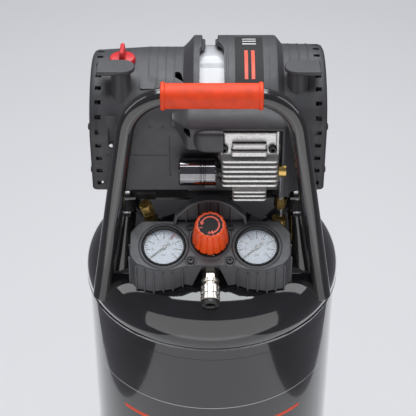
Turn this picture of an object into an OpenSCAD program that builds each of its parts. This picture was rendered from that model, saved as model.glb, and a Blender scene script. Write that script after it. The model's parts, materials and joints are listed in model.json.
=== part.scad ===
// Upright oil-free air compressor: a 50 litre vertical tank on two wheels and two feet,
// with the motor and pump unit, gauge panel and carrying handle on top.
// Millimetres, +Z up, origin on the floor below the middle of the whole machine.

/* [Tank] */
// Outer radius of the rolled shell
shell_r = 160; // [155:1:165]
// Outer radius of the pressed ends, which sleeve over the shell
end_r = 162.4; // [162.2:0.1:163]
// Sheet thickness of the shell and the ends
tank_wall = 2.2; // [1.8:0.1:2.4]
// Height of the lower tangent line, where the bottom end starts to curve in
lower_tangent = 138; // [130:1:145]
// Height of the upper tangent line, where the top end starts to curve in
upper_tangent = 668; // [660:1:672]
// Crown radius of the pressed ends
crown_r = 285; // [280:1:290]
// Knuckle radius of the pressed ends
knuckle_r = 49.5; // [48:0.5:51]

/* [Wheels and feet] */
// Outer radius of the tyres
wheel_r = 70; // [65:1:72]
// Distance of each wheel's middle from the centre plane
wheel_x = 176; // [175:1:180]
// Width of each tyre
tyre_w = 36; // [30:1:38]
// Distance of the axle behind the tank's axis
axle_back = 118; // [116:1:122]
// Radius of the axle
axle_r = 8; // [7:0.5:9]

/* [Handle] */
// Radius of the handle tube
handle_r = 11; // [10:0.5:12]
// Distance of the handle's plane in front of the tank's axis
handle_front = 85; // [84:1:88]
// Height of the middle of the grip
grip_z = 964.5; // [960:0.5:970]
// Length of the rubber grip
grip_len = 115; // [110:1:120]
// Bend radius of the handle's two corners
handle_bend = 55; // [52:1:58]
// Outward splay of the handle's legs, in degrees
handle_splay = 9; // [8.5:0.5:9.5]

/* [Pump unit] */
// Distance of the motor axis behind the tank's axis
motor_back = 22; // [20:1:24]
// Height of the motor axis
motor_z = 869; // [867:1:871]
// Radius of the main shroud drum
drum_r = 88; // [87:0.5:89]
// Crank throw, half the piston's stroke
crank_throw = 8; // [6:0.5:8]
// Bore radius of the cylinder
bore_r = 30; // [29:0.5:30]
// Place of the cylinder along the motor axis
cylinder_x = 44.5; // [44:0.5:45]

/* [Panel] */
// Height of the panel face at the gauge centres
panel_z = 769; // [767:0.5:771]
// Distance of the gauge centres in front of the tank's axis
panel_front = 105.4; // [104:0.1:107]
// Tilt of the panel face towards the user, in degrees
panel_tilt = 27; // [25:0.5:29]
// Sideways distance from the panel's middle to each gauge
gauge_x = 55.6; // [55:0.1:56]
// Radius of the gauge bezels
gauge_r = 26; // [25:0.5:26]

/* [Hidden] */
$fn = 64;
eps = 0.01;

// The tank's axis is moved forward so that the whole machine is centred over the origin.
tank_y = -(axle_back + wheel_r - end_r) / 2;

// Pressed ends: crown and knuckle arcs that meet tangentially.
knuckle_x = end_r - knuckle_r;
crown_drop = sqrt(pow(crown_r - knuckle_r, 2) - pow(knuckle_x, 2));
blend_angle = atan2(crown_drop, knuckle_x);
end_depth = crown_r - crown_drop;
skirt = 12;
weld_h = 6;
crown_top_z = upper_tangent - crown_drop;
tank_bottom_z = lower_tangent - end_depth;
arc_steps = 16;

function arc(cx, cy, r, from, to, n) =
  [for (i = [0:n]) let (a = from + (to - from) * i / n) [cx + r * cos(a), cy + r * sin(a)]];
function end_outline(grow) = concat(
  [[0, -skirt], [end_r + grow, -skirt]],
  arc(knuckle_x, 0, knuckle_r + grow, 0, blend_angle, arc_steps),
  arc(0, -crown_drop, crown_r + grow, blend_angle, 90, arc_steps));

// Machined and cast pieces on the dome.
valve_x = 82.5;
valve_y = -55;
boss_r = 9;
safety_x = -65;
safety_y = -50;
safety_r = 7.7;
safety_h = 55;
safety_cap_h = 14;

// Struts, rubber mounts and cradle.
strut_r = 11;
strut_top_z = 777;
strut_top_x = 103.5;
strut_foot = [112, 70, 702];
strut_front_y = -45;
strut_rear_y = 62;
mount_r = 11;
mount_z = [783, 803];
cradle_z = 803;
cradle_t = 3;
cradle_x = 114;
cradle_y = [-57, 78];
stud_r = 4;

// Handle: half its straight top, and the length of each leg.
handle_straight = 45;
handle_leg = 243;

// Wheels.
hub_r = 15;
hub_w = 46;
rim_r = 50;
axle_z = wheel_r;
ear_x = 135;
ear_t = 4;
foot_x = 90;
foot_y = -100;
pad_h = 24;

// Shrouds.
shroud_t = 3;
flat_front = -60;
flat_bottom = 820;
left_end = -133;
left_step_x = -75;
left_step_r = 85;
left_collar = [-34, -11.5];
right_collar = [6.6, 77];
collar_r = 102;
collar_in_r = 92;
right_end = 124;
right_r = 91.8;
cowl_x = [-25, 89.5];
cowl_front = -78;
cowl_open = [7, 87];
cowl_open_top = 916;
cap_t = 10;
hook_plate_z = 964;
hook_plate_t = 5;
switch_x = -105.6;
switch_y = 12;
switch_z = 954.3;
gland_x = -100;
gland_z = 840;
gland_r = 8;

// Motor and pump.
shaft_r = 7.5;
bearing_r = 17.5;
bearing_w = 11;
running_gap = 0.05;
seat_gap = 0.05;
bearing_x = [-111, -27, 72];
stator_x = [-92, -36];
stator_r = 50;
rotor_r = 28;
case_r = 42;
case_x = [14, 76];
pin_r = 6;
rod_len = 42;
rod_w = 10;
barrel_y = [-58, -20];
piston_face_y = -49.3;
piston_len = 20;
piston_gap = 0.08;
head_x = [10, 78];
head_z = [840, 912];
head_back = -62.2;
head_front = -90;
screw_spots = [[14, 893], [70, 893], [14, 846], [70, 846]];
port_z = 858;
port_y = -77;
pipe_lean = 13.5;
pipe_r = 4;

// Panel, in its own tilted frame: x to the side, y up the slope, z out of the face.
panel_x = -1.9;
panel_t = 3;
panel_deep = 55;
knob_y = 9.5;
knob_h = 37;
dial_z = -4.5;
bezel_z = 2.6;
coupler_depth = -21;
screw_pattern = [[-23.5, 25.1], [23.5, 25.1], [-23.2, -19.4], [23.2, -19.4]];
zero_angle = 220;

module placed() translate([0, tank_y, 0]) children();
module on_panel() placed() translate([panel_x, -panel_front, panel_z]) rotate([panel_tilt, 0, 0]) children();
module along_x(x0, x1, r) translate([x0, 0, 0]) rotate([0, 90, 0]) cylinder(h = x1 - x0, r = r);
module along_y(y0, y1, r) translate([0, y0, 0]) rotate([-90, 0, 0]) cylinder(h = y1 - y0, r = r);
module both_sides() {
  children();
  mirror([1, 0, 0]) children();
}
module at_motor() placed() translate([0, motor_back, motor_z]) children();
module span(x, y, z) translate([x[0], y[0], z[0]]) cube([x[1] - x[0], y[1] - y[0], z[1] - z[0]]);

// One bend from +Z towards +X, cut from a whole ring by a wedge.
module bend(r, bend_r, angle) translate([bend_r, 0, 0]) rotate([90, 0, 0]) intersection() {
  rotate_extrude() translate([bend_r, 0]) circle(r = r);
  translate([0, 0, -2 * r]) linear_extrude(4 * r) polygon(concat([[0, 0]],
    [for (a = [180, 180 - angle / 2, 180 - angle]) 4 * bend_r * [cos(a), sin(a)]]));
}
// A bar or tube bent in a chain: each step is [straight length, bend radius, bend angle, roll].
module bent_bar(r, steps, i = 0) {
  if (i < len(steps)) {
    step = steps[i];
    cylinder(h = step[0], r = r);
    translate([0, 0, step[0]]) rotate([0, 0, step[3]]) {
      if (step[2] > 0) bend(r, step[1], step[2]);
      translate([step[1] * (1 - cos(step[2])), 0, step[1] * sin(step[2])])
        rotate([0, step[2], 0]) bent_bar(r, steps, i + 1);
    }
  }
}

// ---- Tank ----
module tank_end_solid(grow) rotate_extrude($fn = 96) polygon(concat(end_outline(grow), [[0, -skirt]]));
module pressed_end() {
  difference() {
    tank_end_solid(0);
    translate([0, 0, -eps]) tank_end_solid(-tank_wall);
  }
}
module tank_shell() color("#161618") placed() difference() {
  translate([0, 0, lower_tangent]) cylinder(h = upper_tangent - lower_tangent, r = shell_r, $fn = 96);
  translate([0, 0, lower_tangent - 1])
    cylinder(h = upper_tangent - lower_tangent + 2, r = shell_r - tank_wall, $fn = 96);
}
module top_dome() color("#161618") placed() difference() {
  translate([0, 0, upper_tangent]) pressed_end();
  translate([valve_x, valve_y, upper_tangent]) cylinder(h = end_depth, r = boss_r + 0.3);
  on_dome(safety_x, safety_y) translate([0, 0, -20]) cylinder(h = 40, r = safety_r + 0.3);
}
module bottom_dome() color("#161618") placed() difference() {
  translate([0, 0, lower_tangent]) mirror([0, 0, 1]) pressed_end();
  translate([0, 0, tank_bottom_z - 5]) cylinder(h = 20, r = 12.3);
}
module weld_ring() rotate_extrude($fn = 96) polygon([[shell_r + 0.02, 0], [end_r, weld_h], [shell_r + 0.02, weld_h]]);
module seam_welds() color("#1c1c1e") placed() {
  translate([0, 0, upper_tangent - skirt - weld_h]) weld_ring();
  translate([0, 0, lower_tangent + skirt + weld_h]) mirror([0, 0, 1]) weld_ring();
}
// Stands a child on the top dome at x, y, square to the dome.
module on_dome(x, y) translate([0, 0, crown_top_z])
  rotate([0, asin(norm([x, y]) / crown_r), atan2(y, x)]) translate([0, 0, crown_r]) children();

module drain_valve() color("goldenrod") placed() difference() {
  union() {
    translate([0, 0, tank_bottom_z - 10]) cylinder(h = 16, r = 12);
    translate([0, 0, tank_bottom_z - 22]) cylinder(h = 12.5, r = 10, $fn = 6);
  }
  translate([0, 0, tank_bottom_z - 23]) cylinder(h = 30, r = 4.1);
}
module drain_screw() color("goldenrod") placed() union() {
  translate([0, 0, tank_bottom_z - 36]) cylinder(h = 8, r = 9);
  translate([0, 0, tank_bottom_z - 29]) cylinder(h = 24, r = 4.05);
}

// ---- Running gear ----
module ear_outline() polygon([[52, 180], [52, 116], [104, 52], [132, 52], [132, 86], [94, 180]]);
module axle_bracket() color("#1c1c1e") placed() difference() {
  union() {
    both_sides() translate([ear_x, 0, 0]) rotate([90, 0, 90]) linear_extrude(ear_t) ear_outline();
    translate([0, axle_back, axle_z]) along_x(-ear_x - 1, ear_x + 1, 12);
  }
  translate([0, axle_back, axle_z]) along_x(-ear_x - 10, ear_x + 10, axle_r + 0.1);
}
module axle() color("silver") placed() translate([0, axle_back, axle_z]) {
  along_x(-wheel_x - hub_w / 2 - 4, wheel_x + hub_w / 2 + 4, axle_r);
  both_sides() along_x(wheel_x + hub_w / 2 + 0.4, wheel_x + hub_w / 2 + 5, axle_r + 4);
}
module wheel_rim() difference() {
  union() {
    along_x(-hub_w / 2, hub_w / 2, hub_r);
    along_x(-6, 6, rim_r - 6);
    difference() {
      along_x(-15, 15, rim_r - 0.05);
      along_x(-16, 16, rim_r - 6);
    }
  }
  along_x(-hub_w, hub_w, axle_r + 0.08);
  for (a = [0:60:300]) rotate([a, 0, 0]) translate([0, 29, 0]) along_x(-20, 20, 9);
}
module tyre() rotate([0, 90, 0]) rotate_extrude($fn = 96) polygon([
  [rim_r, -15], [wheel_r - 8, -tyre_w / 2], [wheel_r - 3, -tyre_w / 2 + 1.5], [wheel_r, -tyre_w / 2 + 7],
  [wheel_r, tyre_w / 2 - 7], [wheel_r - 3, tyre_w / 2 - 1.5], [wheel_r - 8, tyre_w / 2], [rim_r, 15]]);
module at_wheel(side) placed() translate([side * wheel_x, axle_back, axle_z]) children();
module wheel_left() color("#2b2b2d") at_wheel(-1) wheel_rim();
module wheel_right() color("#2b2b2d") at_wheel(1) wheel_rim();
module tyre_left() color("#1a1a1a") at_wheel(-1) tyre();
module tyre_right() color("#1a1a1a") at_wheel(1) tyre();
module front_feet() color("#1c1c1e") placed() both_sides() translate([foot_x, foot_y, 0]) {
  translate([0, 0, pad_h]) cylinder(h = 84, r = 13);
  translate([0, 0, pad_h]) cylinder(h = 4, r = 24);
}
module foot_pads() color("#1a1a1a") placed() both_sides() translate([foot_x, foot_y, 0])
  rotate_extrude() polygon([[0, 0], [24, 0], [27, 3], [25, pad_h - 0.05], [0, pad_h - 0.05]]);

// ---- Handle ----
// The arch runs from the left foot over the grip to the right foot.
handle_foot_x = handle_straight + handle_bend * cos(handle_splay) + handle_leg * sin(handle_splay);
handle_foot_z = grip_z - handle_bend * (1 - sin(handle_splay)) - handle_leg * cos(handle_splay);
module handle_tube() color("#161618") placed()
  translate([-handle_foot_x, -handle_front, handle_foot_z]) rotate([0, handle_splay, 0]) {
    turn = 90 - handle_splay;
    arch = [[handle_leg, handle_bend, turn, 0], [2 * handle_straight, handle_bend, turn, 0], [handle_leg, 0, 0, 0]];
    bent_bar(handle_r, arch);
  }
module handle_grip() color("#f0531c") placed() translate([0, -handle_front, grip_z]) difference() {
  union() {
    along_x(-grip_len / 2, grip_len / 2, 14.5);
    both_sides() along_x(grip_len / 2 - 4, grip_len / 2, 16);
  }
  along_x(-grip_len, grip_len, handle_r + 0.05);
}

// ---- Struts, mounts and cradle ----
module strut(side_y) {
  foot = [strut_foot[0], side_y > 0 ? strut_foot[1] : -strut_foot[1], strut_foot[2]];
  top = [strut_top_x, side_y, strut_top_z];
  way = top - foot;
  difference() {
    translate(foot) rotate([0, acos(way[2] / norm(way)), atan2(way[1], way[0])]) rotate([0, 0, 180])
      cylinder(h = norm(way) + 10, r = strut_r);
    translate(top + [-30, -30, 0]) cube([60, 60, 30]);
    translate(top - [0, 0, 20]) cylinder(h = 30, r = stud_r + 0.1);
  }
}
module each_mount() both_sides() for (y = [strut_front_y, strut_rear_y]) translate([strut_top_x, y, 0]) children();
module pump_struts() color("#161618") placed() both_sides() {
  strut(strut_front_y);
  strut(strut_rear_y);
}
module vibration_mounts() color("#1a1a1a") placed() each_mount() difference() {
  translate([0, 0, mount_z[0] + 0.1]) cylinder(h = mount_z[1] - mount_z[0] - 0.2, r = mount_r);
  translate([0, 0, mount_z[0] - 1]) cylinder(h = 30, r = stud_r + 0.15);
}
module mount_bolts() color("silver") placed() each_mount() {
  translate([0, 0, strut_top_z - 12]) cylinder(h = 50, r = stud_r);
  translate([0, 0, strut_top_z + 0.1]) cylinder(h = 5.8, r = 8, $fn = 6);
  translate([0, 0, cradle_z + cradle_t + 0.1]) cylinder(h = 6, r = 8, $fn = 6);
}
module pump_cradle() color("#1c1c1e") placed() difference() {
  union() {
    span([-cradle_x, cradle_x], cradle_y, [cradle_z, cradle_z + cradle_t]);
    for (y = [-34, 62]) span([-92, 70], [y, y + cradle_t], [cradle_z - 16, cradle_z]);
  }
  each_mount() translate([0, 0, cradle_z - 5]) cylinder(h = 12, r = stud_r + 0.3);
  for (x = [[74, 95], [-92, -68]]) span(x, [-60, -46], [cradle_z - 1, cradle_z + cradle_t + 1]);
}

// ---- Air lines ----
module check_valve() color("goldenrod") placed() translate([valve_x, valve_y, 0]) difference() {
  union() {
    translate([0, 0, 716]) cylinder(h = 24, r = boss_r);
    translate([0, 0, 738]) cylinder(h = 14, r = 12, $fn = 6);
    translate([0, 0, 751]) cylinder(h = 24, r = 9);
  }
  translate([0, 0, 740]) cylinder(h = 26, r = 6.5);
  translate([0, 0, 715]) cylinder(h = 70, r = 3);
}
module check_poppet() color("dimgray") placed() translate([valve_x, valve_y, 741]) cylinder(h = 9, r = 6);
module on_pipe() placed() translate([valve_x, port_y + 2, port_z]) rotate([180 + pipe_lean, 0, 0]) children();
module delivery_pipe() color("#b87333") on_pipe() translate([0, 0, 8.4]) cylinder(h = 72, r = pipe_r);
module pipe_nuts() color("goldenrod") {
  placed() translate([0, port_y + 2, port_z]) along_x(head_x[1] + 0.1, head_x[1] + 8.5, 8);
  on_pipe() translate([0, 0, 50]) difference() {
    cylinder(h = 12, r = 8, $fn = 6);
    translate([0, 0, -1]) cylinder(h = 14, r = pipe_r + 0.1);
  }
}
module unloader_tube() color("#2b2b2d") placed() translate([valve_x, valve_y + 9.1, 768]) rotate([-90, 0, 0]) {
  route = [[38.9, 12, 90, 180], [176.5, 12, 90, 90], [143, 0, 0, 0]];
  bent_bar(2.5, route);
}
module safety_valve() color("goldenrod") placed() on_dome(safety_x, safety_y) {
  translate([0, 0, -8]) cylinder(h = safety_h + 8, r = safety_r);
  translate([0, 0, 4]) cylinder(h = 10, r = 10, $fn = 6);
}
module safety_cap() color("goldenrod") placed() on_dome(safety_x, safety_y) translate([0, 0, safety_h + 0.4])
  difference() {
    cylinder(h = safety_cap_h, r = safety_r + 0.3);
    translate([0, 0, 5]) cylinder(h = safety_cap_h, r = 1.5);
  }

// ---- Panel ----
module panel_outline() polygon([
  [-83, 34], [83, 34], [96, 19], [96, -12], [88, -23], [68, -31], [44, -31], [30, -26], [10, -25],
  [-10, -25], [-30, -26], [-44, -31], [-68, -31], [-88, -23], [-96, -12], [-96, 19]]);
module hood() translate([panel_x, -76.6, 774]) intersection() {
  difference() {
    along_y(-4, 8, 45);
    along_y(-5, 4, 42);
  }
  span([-50, 50], [-10, 10], [6, 50]);
}
module panel() color("#4a4c50") {
  difference() {
    on_panel() translate([0, 0, -panel_deep]) linear_extrude(panel_deep) panel_outline();
    on_panel() translate([0, 0, -panel_deep - panel_t])
      linear_extrude(panel_deep) offset(delta = -panel_t) panel_outline();
    on_panel() for (x = [-gauge_x, gauge_x]) translate([x, 0, -10]) cylinder(h = 20, r = gauge_r + 0.4);
    on_panel() translate([0, knob_y, -10]) cylinder(h = 20, r = 19);
    on_panel() for (p = screw_pattern) translate([p[0], p[1], -10]) cylinder(h = 20, r = 2.3);
    placed() translate([0, 0, upper_tangent]) tank_end_solid(0.4);
    placed() translate([panel_x, -95, 0]) rotate([90, 0, 0]) linear_extrude(60)
      polygon([[-28, 700], [28, 700], [12, 757], [-12, 757]]);
    on_panel() translate([0, 0, coupler_depth]) along_y(-60, 0, 12.6);
    on_panel() span([-93, 93], [25, 40], [-panel_deep - 1, -panel_t - 1]);
    placed() translate([valve_x, valve_y, 700]) cylinder(h = 64, r = 14);
  }
  placed() difference() {
    hood();
    translate([0, 0, upper_tangent]) tank_end_solid(0.4);
  }
}
module panel_screws() color("#2b2b2d") on_panel() for (p = screw_pattern) translate([p[0], p[1], 0]) {
  translate([0, 0, 0.05]) cylinder(h = 2.4, r = 4);
  translate([0, 0, -12]) cylinder(h = 12.1, r = 2);
}
module gauge_cases() color("#202022") on_panel() for (x = [-gauge_x, gauge_x]) translate([x, 0, 0]) {
  difference() {
    translate([0, 0, -18]) cylinder(h = bezel_z + 18, r = gauge_r);
    translate([0, 0, -14]) cylinder(h = 30, r = gauge_r - 2.2);
  }
  translate([0, 0, -23.9]) cylinder(h = 6, r = 6);
}
module gauge_dials() color("#e6edf2") on_panel() for (x = [-gauge_x, gauge_x]) translate([x, 0, dial_z])
  difference() {
    cylinder(h = 1, r = gauge_r - 2.3);
    translate([0, 0, -1]) cylinder(h = 3, r = 1.3);
  }
module gauge_lenses() color("#ddeeff", 0.4) on_panel() for (x = [-gauge_x, gauge_x]) translate([x, 0, bezel_z - 3])
  cylinder(h = 1.6, r = gauge_r - 2.3);
module needle(x) on_panel() translate([x, 0, 0]) rotate([0, 0, zero_angle]) {
  translate([0, 0, dial_z - 3]) cylinder(h = 5.5, r = 1);
  translate([0, 0, dial_z + 1.8]) {
    cylinder(h = 1.4, r = 2.4);
    linear_extrude(0.8) polygon([[-9, -1.2], [20, -0.35], [20, 0.35], [-9, 1.2]]);
  }
}
module needle_left() color("#202022") needle(-gauge_x);
module needle_right() color("#202022") needle(gauge_x);

module regulator_body() color("silver") on_panel() difference() {
  union() {
    translate([0, knob_y, -36]) cylinder(h = 37, r = 15);
    translate([0, knob_y, 0]) cylinder(h = 26, r = 8);
    span([-gauge_x - 8, gauge_x + 8], [-8, 8], [-36, -24]);
    translate([0, 0, coupler_depth]) along_y(-16, 0, 10);
  }
  translate([0, 0, coupler_depth]) along_y(-17, 2, 4);
}
module regulator_knob() color("#f0531c") on_panel() translate([0, knob_y, 2]) difference() {
  cylinder(h = knob_h, r1 = 22, r2 = 17);
  for (i = [0:13]) rotate([0, 0, i * 360 / 14]) translate([23.2, 0, 4]) rotate([0, -7.7, 0]) cylinder(h = 50, r = 2.6);
  translate([0, 0, -1]) cylinder(h = 28, r = 8.08);
}
module at_coupler() on_panel() translate([0, -16.2, coupler_depth]) rotate([90, 0, 0]) children();
module coupler_body() color("#cfc9c0") at_coupler() difference() {
  union() {
    cylinder(h = 4, r = 10.6);
    translate([0, 0, 4]) cylinder(h = 16, r = 9.8, $fn = 6);
    translate([0, 0, 19]) cylinder(h = 27, r = 9);
    translate([0, 0, 19]) cylinder(h = 4, r = 11);
  }
  translate([0, 0, -1]) cylinder(h = 20, r = 4);
  translate([0, 0, 16]) cylinder(h = 40, r = 5.25);
}
module coupler_sleeve() color("#cfc9c0") at_coupler() translate([0, 0, 27.2]) difference() {
  cylinder(h = 18.6, r = 11.7);
  translate([0, 0, -1]) cylinder(h = 30, r = 9.06);
}
module coupler_nose() color("#1a1a1a") at_coupler() translate([0, 0, 46.1]) difference() {
  cylinder(h = 5.6, r = 10.8);
  translate([0, 0, -1]) cylinder(h = 10, r = 5.6);
}

// ---- Shrouds ----
module drum(x0, x1, r) translate([0, motor_back, motor_z]) along_x(x0, x1, r);
module drum_flats(inset, front) span([-200, 200], [front + inset, 200], [inset > 0 ? 700 : flat_bottom, 1100]);
module drum_wall(x0, x1, r, front) difference() {
  intersection() {
    drum(x0, x1, r);
    drum_flats(0, front);
  }
  intersection() {
    drum(x0 - 1, x1 + 1, r - shroud_t);
    drum_flats(shroud_t, front);
  }
}
module step_wall(x0, x1, r_out, r_in, front) difference() {
  intersection() {
    drum(x0, x1, r_out);
    drum_flats(0, front);
  }
  drum(x0 - 1, x1 + 1, r_in);
}
// A cord hook: a round post with a plate that is round on its inner side.
module cord_hook(post_x, post_y, post_r, plate_x, round_side) {
  translate([post_x, post_y, 925]) cylinder(h = hook_plate_z - 925 + 1, r = post_r);
  round_x = round_side > 0 ? plate_x[1] - 15 : plate_x[0] + 15;
  flat_x = round_side > 0 ? [plate_x[0], round_x] : [round_x, plate_x[1]];
  translate([round_x, -24, hook_plate_z]) cylinder(h = hook_plate_t, r = 15);
  span(flat_x, [-39, -9], [hook_plate_z, hook_plate_z + hook_plate_t]);
}
module shroud_left() color("#4a4c50") placed() difference() {
  union() {
    drum_wall(left_end, left_step_x, left_step_r, flat_front);
    drum_wall(left_step_x, left_collar[0] + 3, drum_r, flat_front);
    step_wall(left_step_x - 3, left_step_x, drum_r, left_step_r - shroud_t, flat_front);
    step_wall(left_collar[0], left_collar[1], collar_r, collar_in_r, flat_front);
    step_wall(left_collar[0], left_collar[0] + 3, collar_r, left_step_r, flat_front);
    difference() {
      cord_hook(switch_x, -24, 11.5, [-133, -89], 1);
      drum(-200, 0, left_step_r - shroud_t);
    }
  }
  translate([switch_x, switch_y, 930]) cylinder(h = 40, r = 6);
  translate([gland_x, 0, gland_z]) along_y(80, 130, gland_r + 0.3);
}
module cowl_profile() polygon([[-35, 900], [cowl_front, 900], [cowl_front, 915], [-50, 937], [-35, 937]]);
module shroud_right() color("#4a4c50") placed() difference() {
  union() {
    step_wall(right_collar[0], right_collar[1], collar_r, collar_r - shroud_t, flat_front);
    drum_wall(right_collar[1] - 3, right_end, right_r, flat_front);
    step_wall(right_collar[1] - 3, right_collar[1], collar_r, right_r - shroud_t, flat_front);
    difference() {
      union() {
        translate([cowl_x[0], 0, 0]) rotate([90, 0, 90]) linear_extrude(cowl_x[1] - cowl_x[0]) cowl_profile();
        span([cowl_x[0], cowl_open[0]], [cowl_front, flat_front], [888, 902]);
        span([cowl_open[1], cowl_x[1]], [cowl_front, -50], [flat_bottom, 905]);
        span([cowl_x[0], cowl_open[0]], [flat_front, flat_front + shroud_t], [flat_bottom + 6, 905]);
      }
      drum(-200, 200, collar_in_r + 2);
    }
    difference() {
      cord_hook(99.9, -36, 12.5, [83.8, 125.7], -1);
      drum(-200, 200, right_r - shroud_t);
    }
  }
  span([-200, left_collar[1] + 0.4], [flat_front - 0.3, 200], [700, 1100]);
  span(cowl_open, [-90, -40], [700, cowl_open_top]);
}
module end_cap(r, inner_r) intersection() {
  union() {
    along_x(0, cap_t, r);
    along_x(-3, 0, inner_r);
  }
  translate([0, -motor_back, -motor_z]) span([-50, 50], [flat_front + shroud_t + 0.2, 200], [flat_bottom, 1100]);
}
module end_cap_left() color("#3a3c40") at_motor() translate([left_end - 0.1, 0, 0]) mirror([1, 0, 0])
  end_cap(left_step_r, left_step_r - shroud_t - 0.2);
module end_cap_right() color("#3a3c40") at_motor() translate([right_end + 0.1, 0, 0])
  end_cap(right_r, right_r - shroud_t - 0.2);

// ---- Motor ----
module motor_frame() color("#c8c9cc") placed() difference() {
  union() {
    difference() {
      intersection() {
        drum(-29, 24, 90);
        span([-200, 200], [-56, 200], [cradle_z + cradle_t + 0.1, 1100]);
      }
      intersection() {
        drum(-24, 30, 86);
        span([-200, 200], [-52, 200], [700, 1100]);
      }
    }
    drum(-104, -25, 53);
    drum(-26, -14, 22);
  }
  drum(-99, -28, 50.2);
  for (x = bearing_x) drum(x, x + bearing_w + 20, bearing_r + seat_gap);
  drum(-112, -90, bearing_r + seat_gap);
  drum(-120, 100, 12);
  translate([cylinder_x, 0, motor_z]) along_y(-60, -30, 39);
}
module stator() color("#8a4b2a") at_motor() difference() {
  union() {
    along_x(stator_x[0], stator_x[1], stator_r);
    along_x(stator_x[0] - 5, stator_x[1] + 5, 44);
  }
  along_x(stator_x[0] - 10, stator_x[1] + 10, rotor_r + 1);
}
module rotor() color("#9a9ca0") at_motor() difference() {
  along_x(stator_x[0] + 3, stator_x[1] - 3, rotor_r);
  along_x(stator_x[0], stator_x[1], shaft_r + 0.02);
}
module bearings() color("silver") at_motor() for (x = bearing_x) difference() {
  along_x(x, x + bearing_w, bearing_r);
  along_x(x - 1, x + bearing_w + 1, shaft_r + running_gap);
}
module crankshaft() color("silver") at_motor() {
  along_x(-114, cylinder_x - 10.5, shaft_r);
  along_x(cylinder_x + 10.5, 112, shaft_r);
  for (x = [cylinder_x - 11, cylinder_x + 6]) along_x(x, x + 5, 18);
  translate([0, 0, crank_throw]) along_x(cylinder_x - 8, cylinder_x + 8, pin_r);
}
module fan() color("#2b2b2d") at_motor() difference() {
  union() {
    along_x(92, 108, 16);
    for (i = [0:7]) rotate([i * 45, 0, 0]) translate([100, 0, 12]) rotate([0, 0, 35]) translate([-1, -9, 0])
      cube([2, 18, 44]);
  }
  along_x(80, 120, shaft_r + 0.02);
}

// ---- Pump ----
module crankcase() color("#b8babd") at_motor() difference() {
  union() {
    along_x(case_x[0], case_x[1], case_r);
    translate([cylinder_x, 0, 0]) along_y(barrel_y[1] - motor_back, -24, 38);
    span([case_x[0] + 6, case_x[1] - 6], [-22, 22], [cradle_z + cradle_t + 0.1 - motor_z, -30]);
  }
  along_x(case_x[0] + 5, case_x[1] - 5, case_r - 5);
  translate([cylinder_x, 0, 0]) along_y(-case_r - 1, 0, bore_r + 1);
  along_x(case_x[0] - 1, case_x[0] + 10, 10);
  along_x(bearing_x[2] - 1, case_x[1] + 1, bearing_r + seat_gap);
}
module at_cylinder() placed() translate([cylinder_x, 0, motor_z]) children();
module cylinder_barrel() color("#b8babd") at_cylinder() difference() {
  union() {
    along_y(barrel_y[0], barrel_y[1] - 0.1, bore_r + 4);
    for (y = [barrel_y[0] + 4:7:barrel_y[1] - 8]) along_y(y, y + 2.5, bore_r + 8);
  }
  along_y(barrel_y[0] - 1, barrel_y[1] + 1, bore_r);
}
module piston() color("silver") at_cylinder() difference() {
  along_y(piston_face_y, piston_face_y + piston_len, bore_r - piston_gap);
  along_y(piston_face_y + 5, piston_face_y + piston_len + 1, bore_r - 4);
}
module connecting_rod() color("#9a9ca0") at_motor() translate([cylinder_x - rod_w / 2, 0, crank_throw])
  difference() {
    union() {
      along_x(0, rod_w, 11);
      translate([0, -rod_len, 0]) along_x(0, rod_w, 7);
      span([0, rod_w], [-rod_len, 0], [-4.5, 4.5]);
    }
    along_x(-1, rod_w + 1, pin_r + running_gap);
    translate([0, -rod_len, 0]) along_x(-1, rod_w + 1, 3);
  }
module valve_plate() color("silver") placed() difference() {
  span(head_x, [head_back + 0.1, barrel_y[0] - 0.1], [833, 907]);
  for (p = screw_spots) translate([p[0], 0, p[1]]) along_y(-70, -50, 3.3);
  for (x = [32, 57]) translate([x, 0, motor_z]) along_y(-70, -50, 5);
}
module cylinder_head() color("#b8babd") placed() difference() {
  union() {
    span(head_x, [-76, head_back], head_z);
    span(head_x, [-82, -75], [884, head_z[1]]);
    for (i = [0:5]) span([11, 77], [head_front, -75], [878 - i * 6.6, 880.6 - i * 6.6]);
    span([30, 58], [-76, -66], [823, 841]);
    for (i = [0:2]) span([24, 64], [head_front, -66], [824 + i * 5.5, 826 + i * 5.5]);
    for (i = [0:1]) span([22, 64], [head_front, -81], [889 + i * 9, 891.5 + i * 9]);
  }
  for (p = screw_spots) translate([p[0], 0, p[1]]) {
    along_y(-95, -50, 3.3);
    along_y(-95, p[1] > 880 ? -82 : -76, 6);
  }
}
module head_screws() color("#2b2b2d") placed() for (p = screw_spots) translate([p[0], 0, p[1]]) {
  seat = p[1] > 880 ? -82.1 : -76.1;
  along_y(seat - 5, seat, 5);
  along_y(seat - 1, -58.5, 3);
}
module intake_filter() color("silver") placed() translate([0, port_y - 1, port_z]) {
  along_x(-39, 5, 16.5);
  along_x(4, head_x[0] - 0.1, 8);
}

// ---- Electrical ----
module switch_knob() color("#d02a2c") placed() translate([switch_x, switch_y, switch_z]) {
  cylinder(h = 7, r = 15.4);
  span([-3, 3], [-14, 14], [6, 18]);
}
module pressure_switch() color("#2b2b2d") placed() {
  span([-124, -88], [-6, 34], [924, 944]);
  translate([switch_x, switch_y, 943]) cylinder(h = 11.2, r = 5);
}
module cable_gland() color("#1a1a1a") placed() translate([gland_x, 0, gland_z]) difference() {
  union() {
    along_y(96, 112, gland_r);
    along_y(106, 110, gland_r + 3);
    along_y(110, 124, 6);
  }
  along_y(90, 130, 3.6);
}

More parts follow.
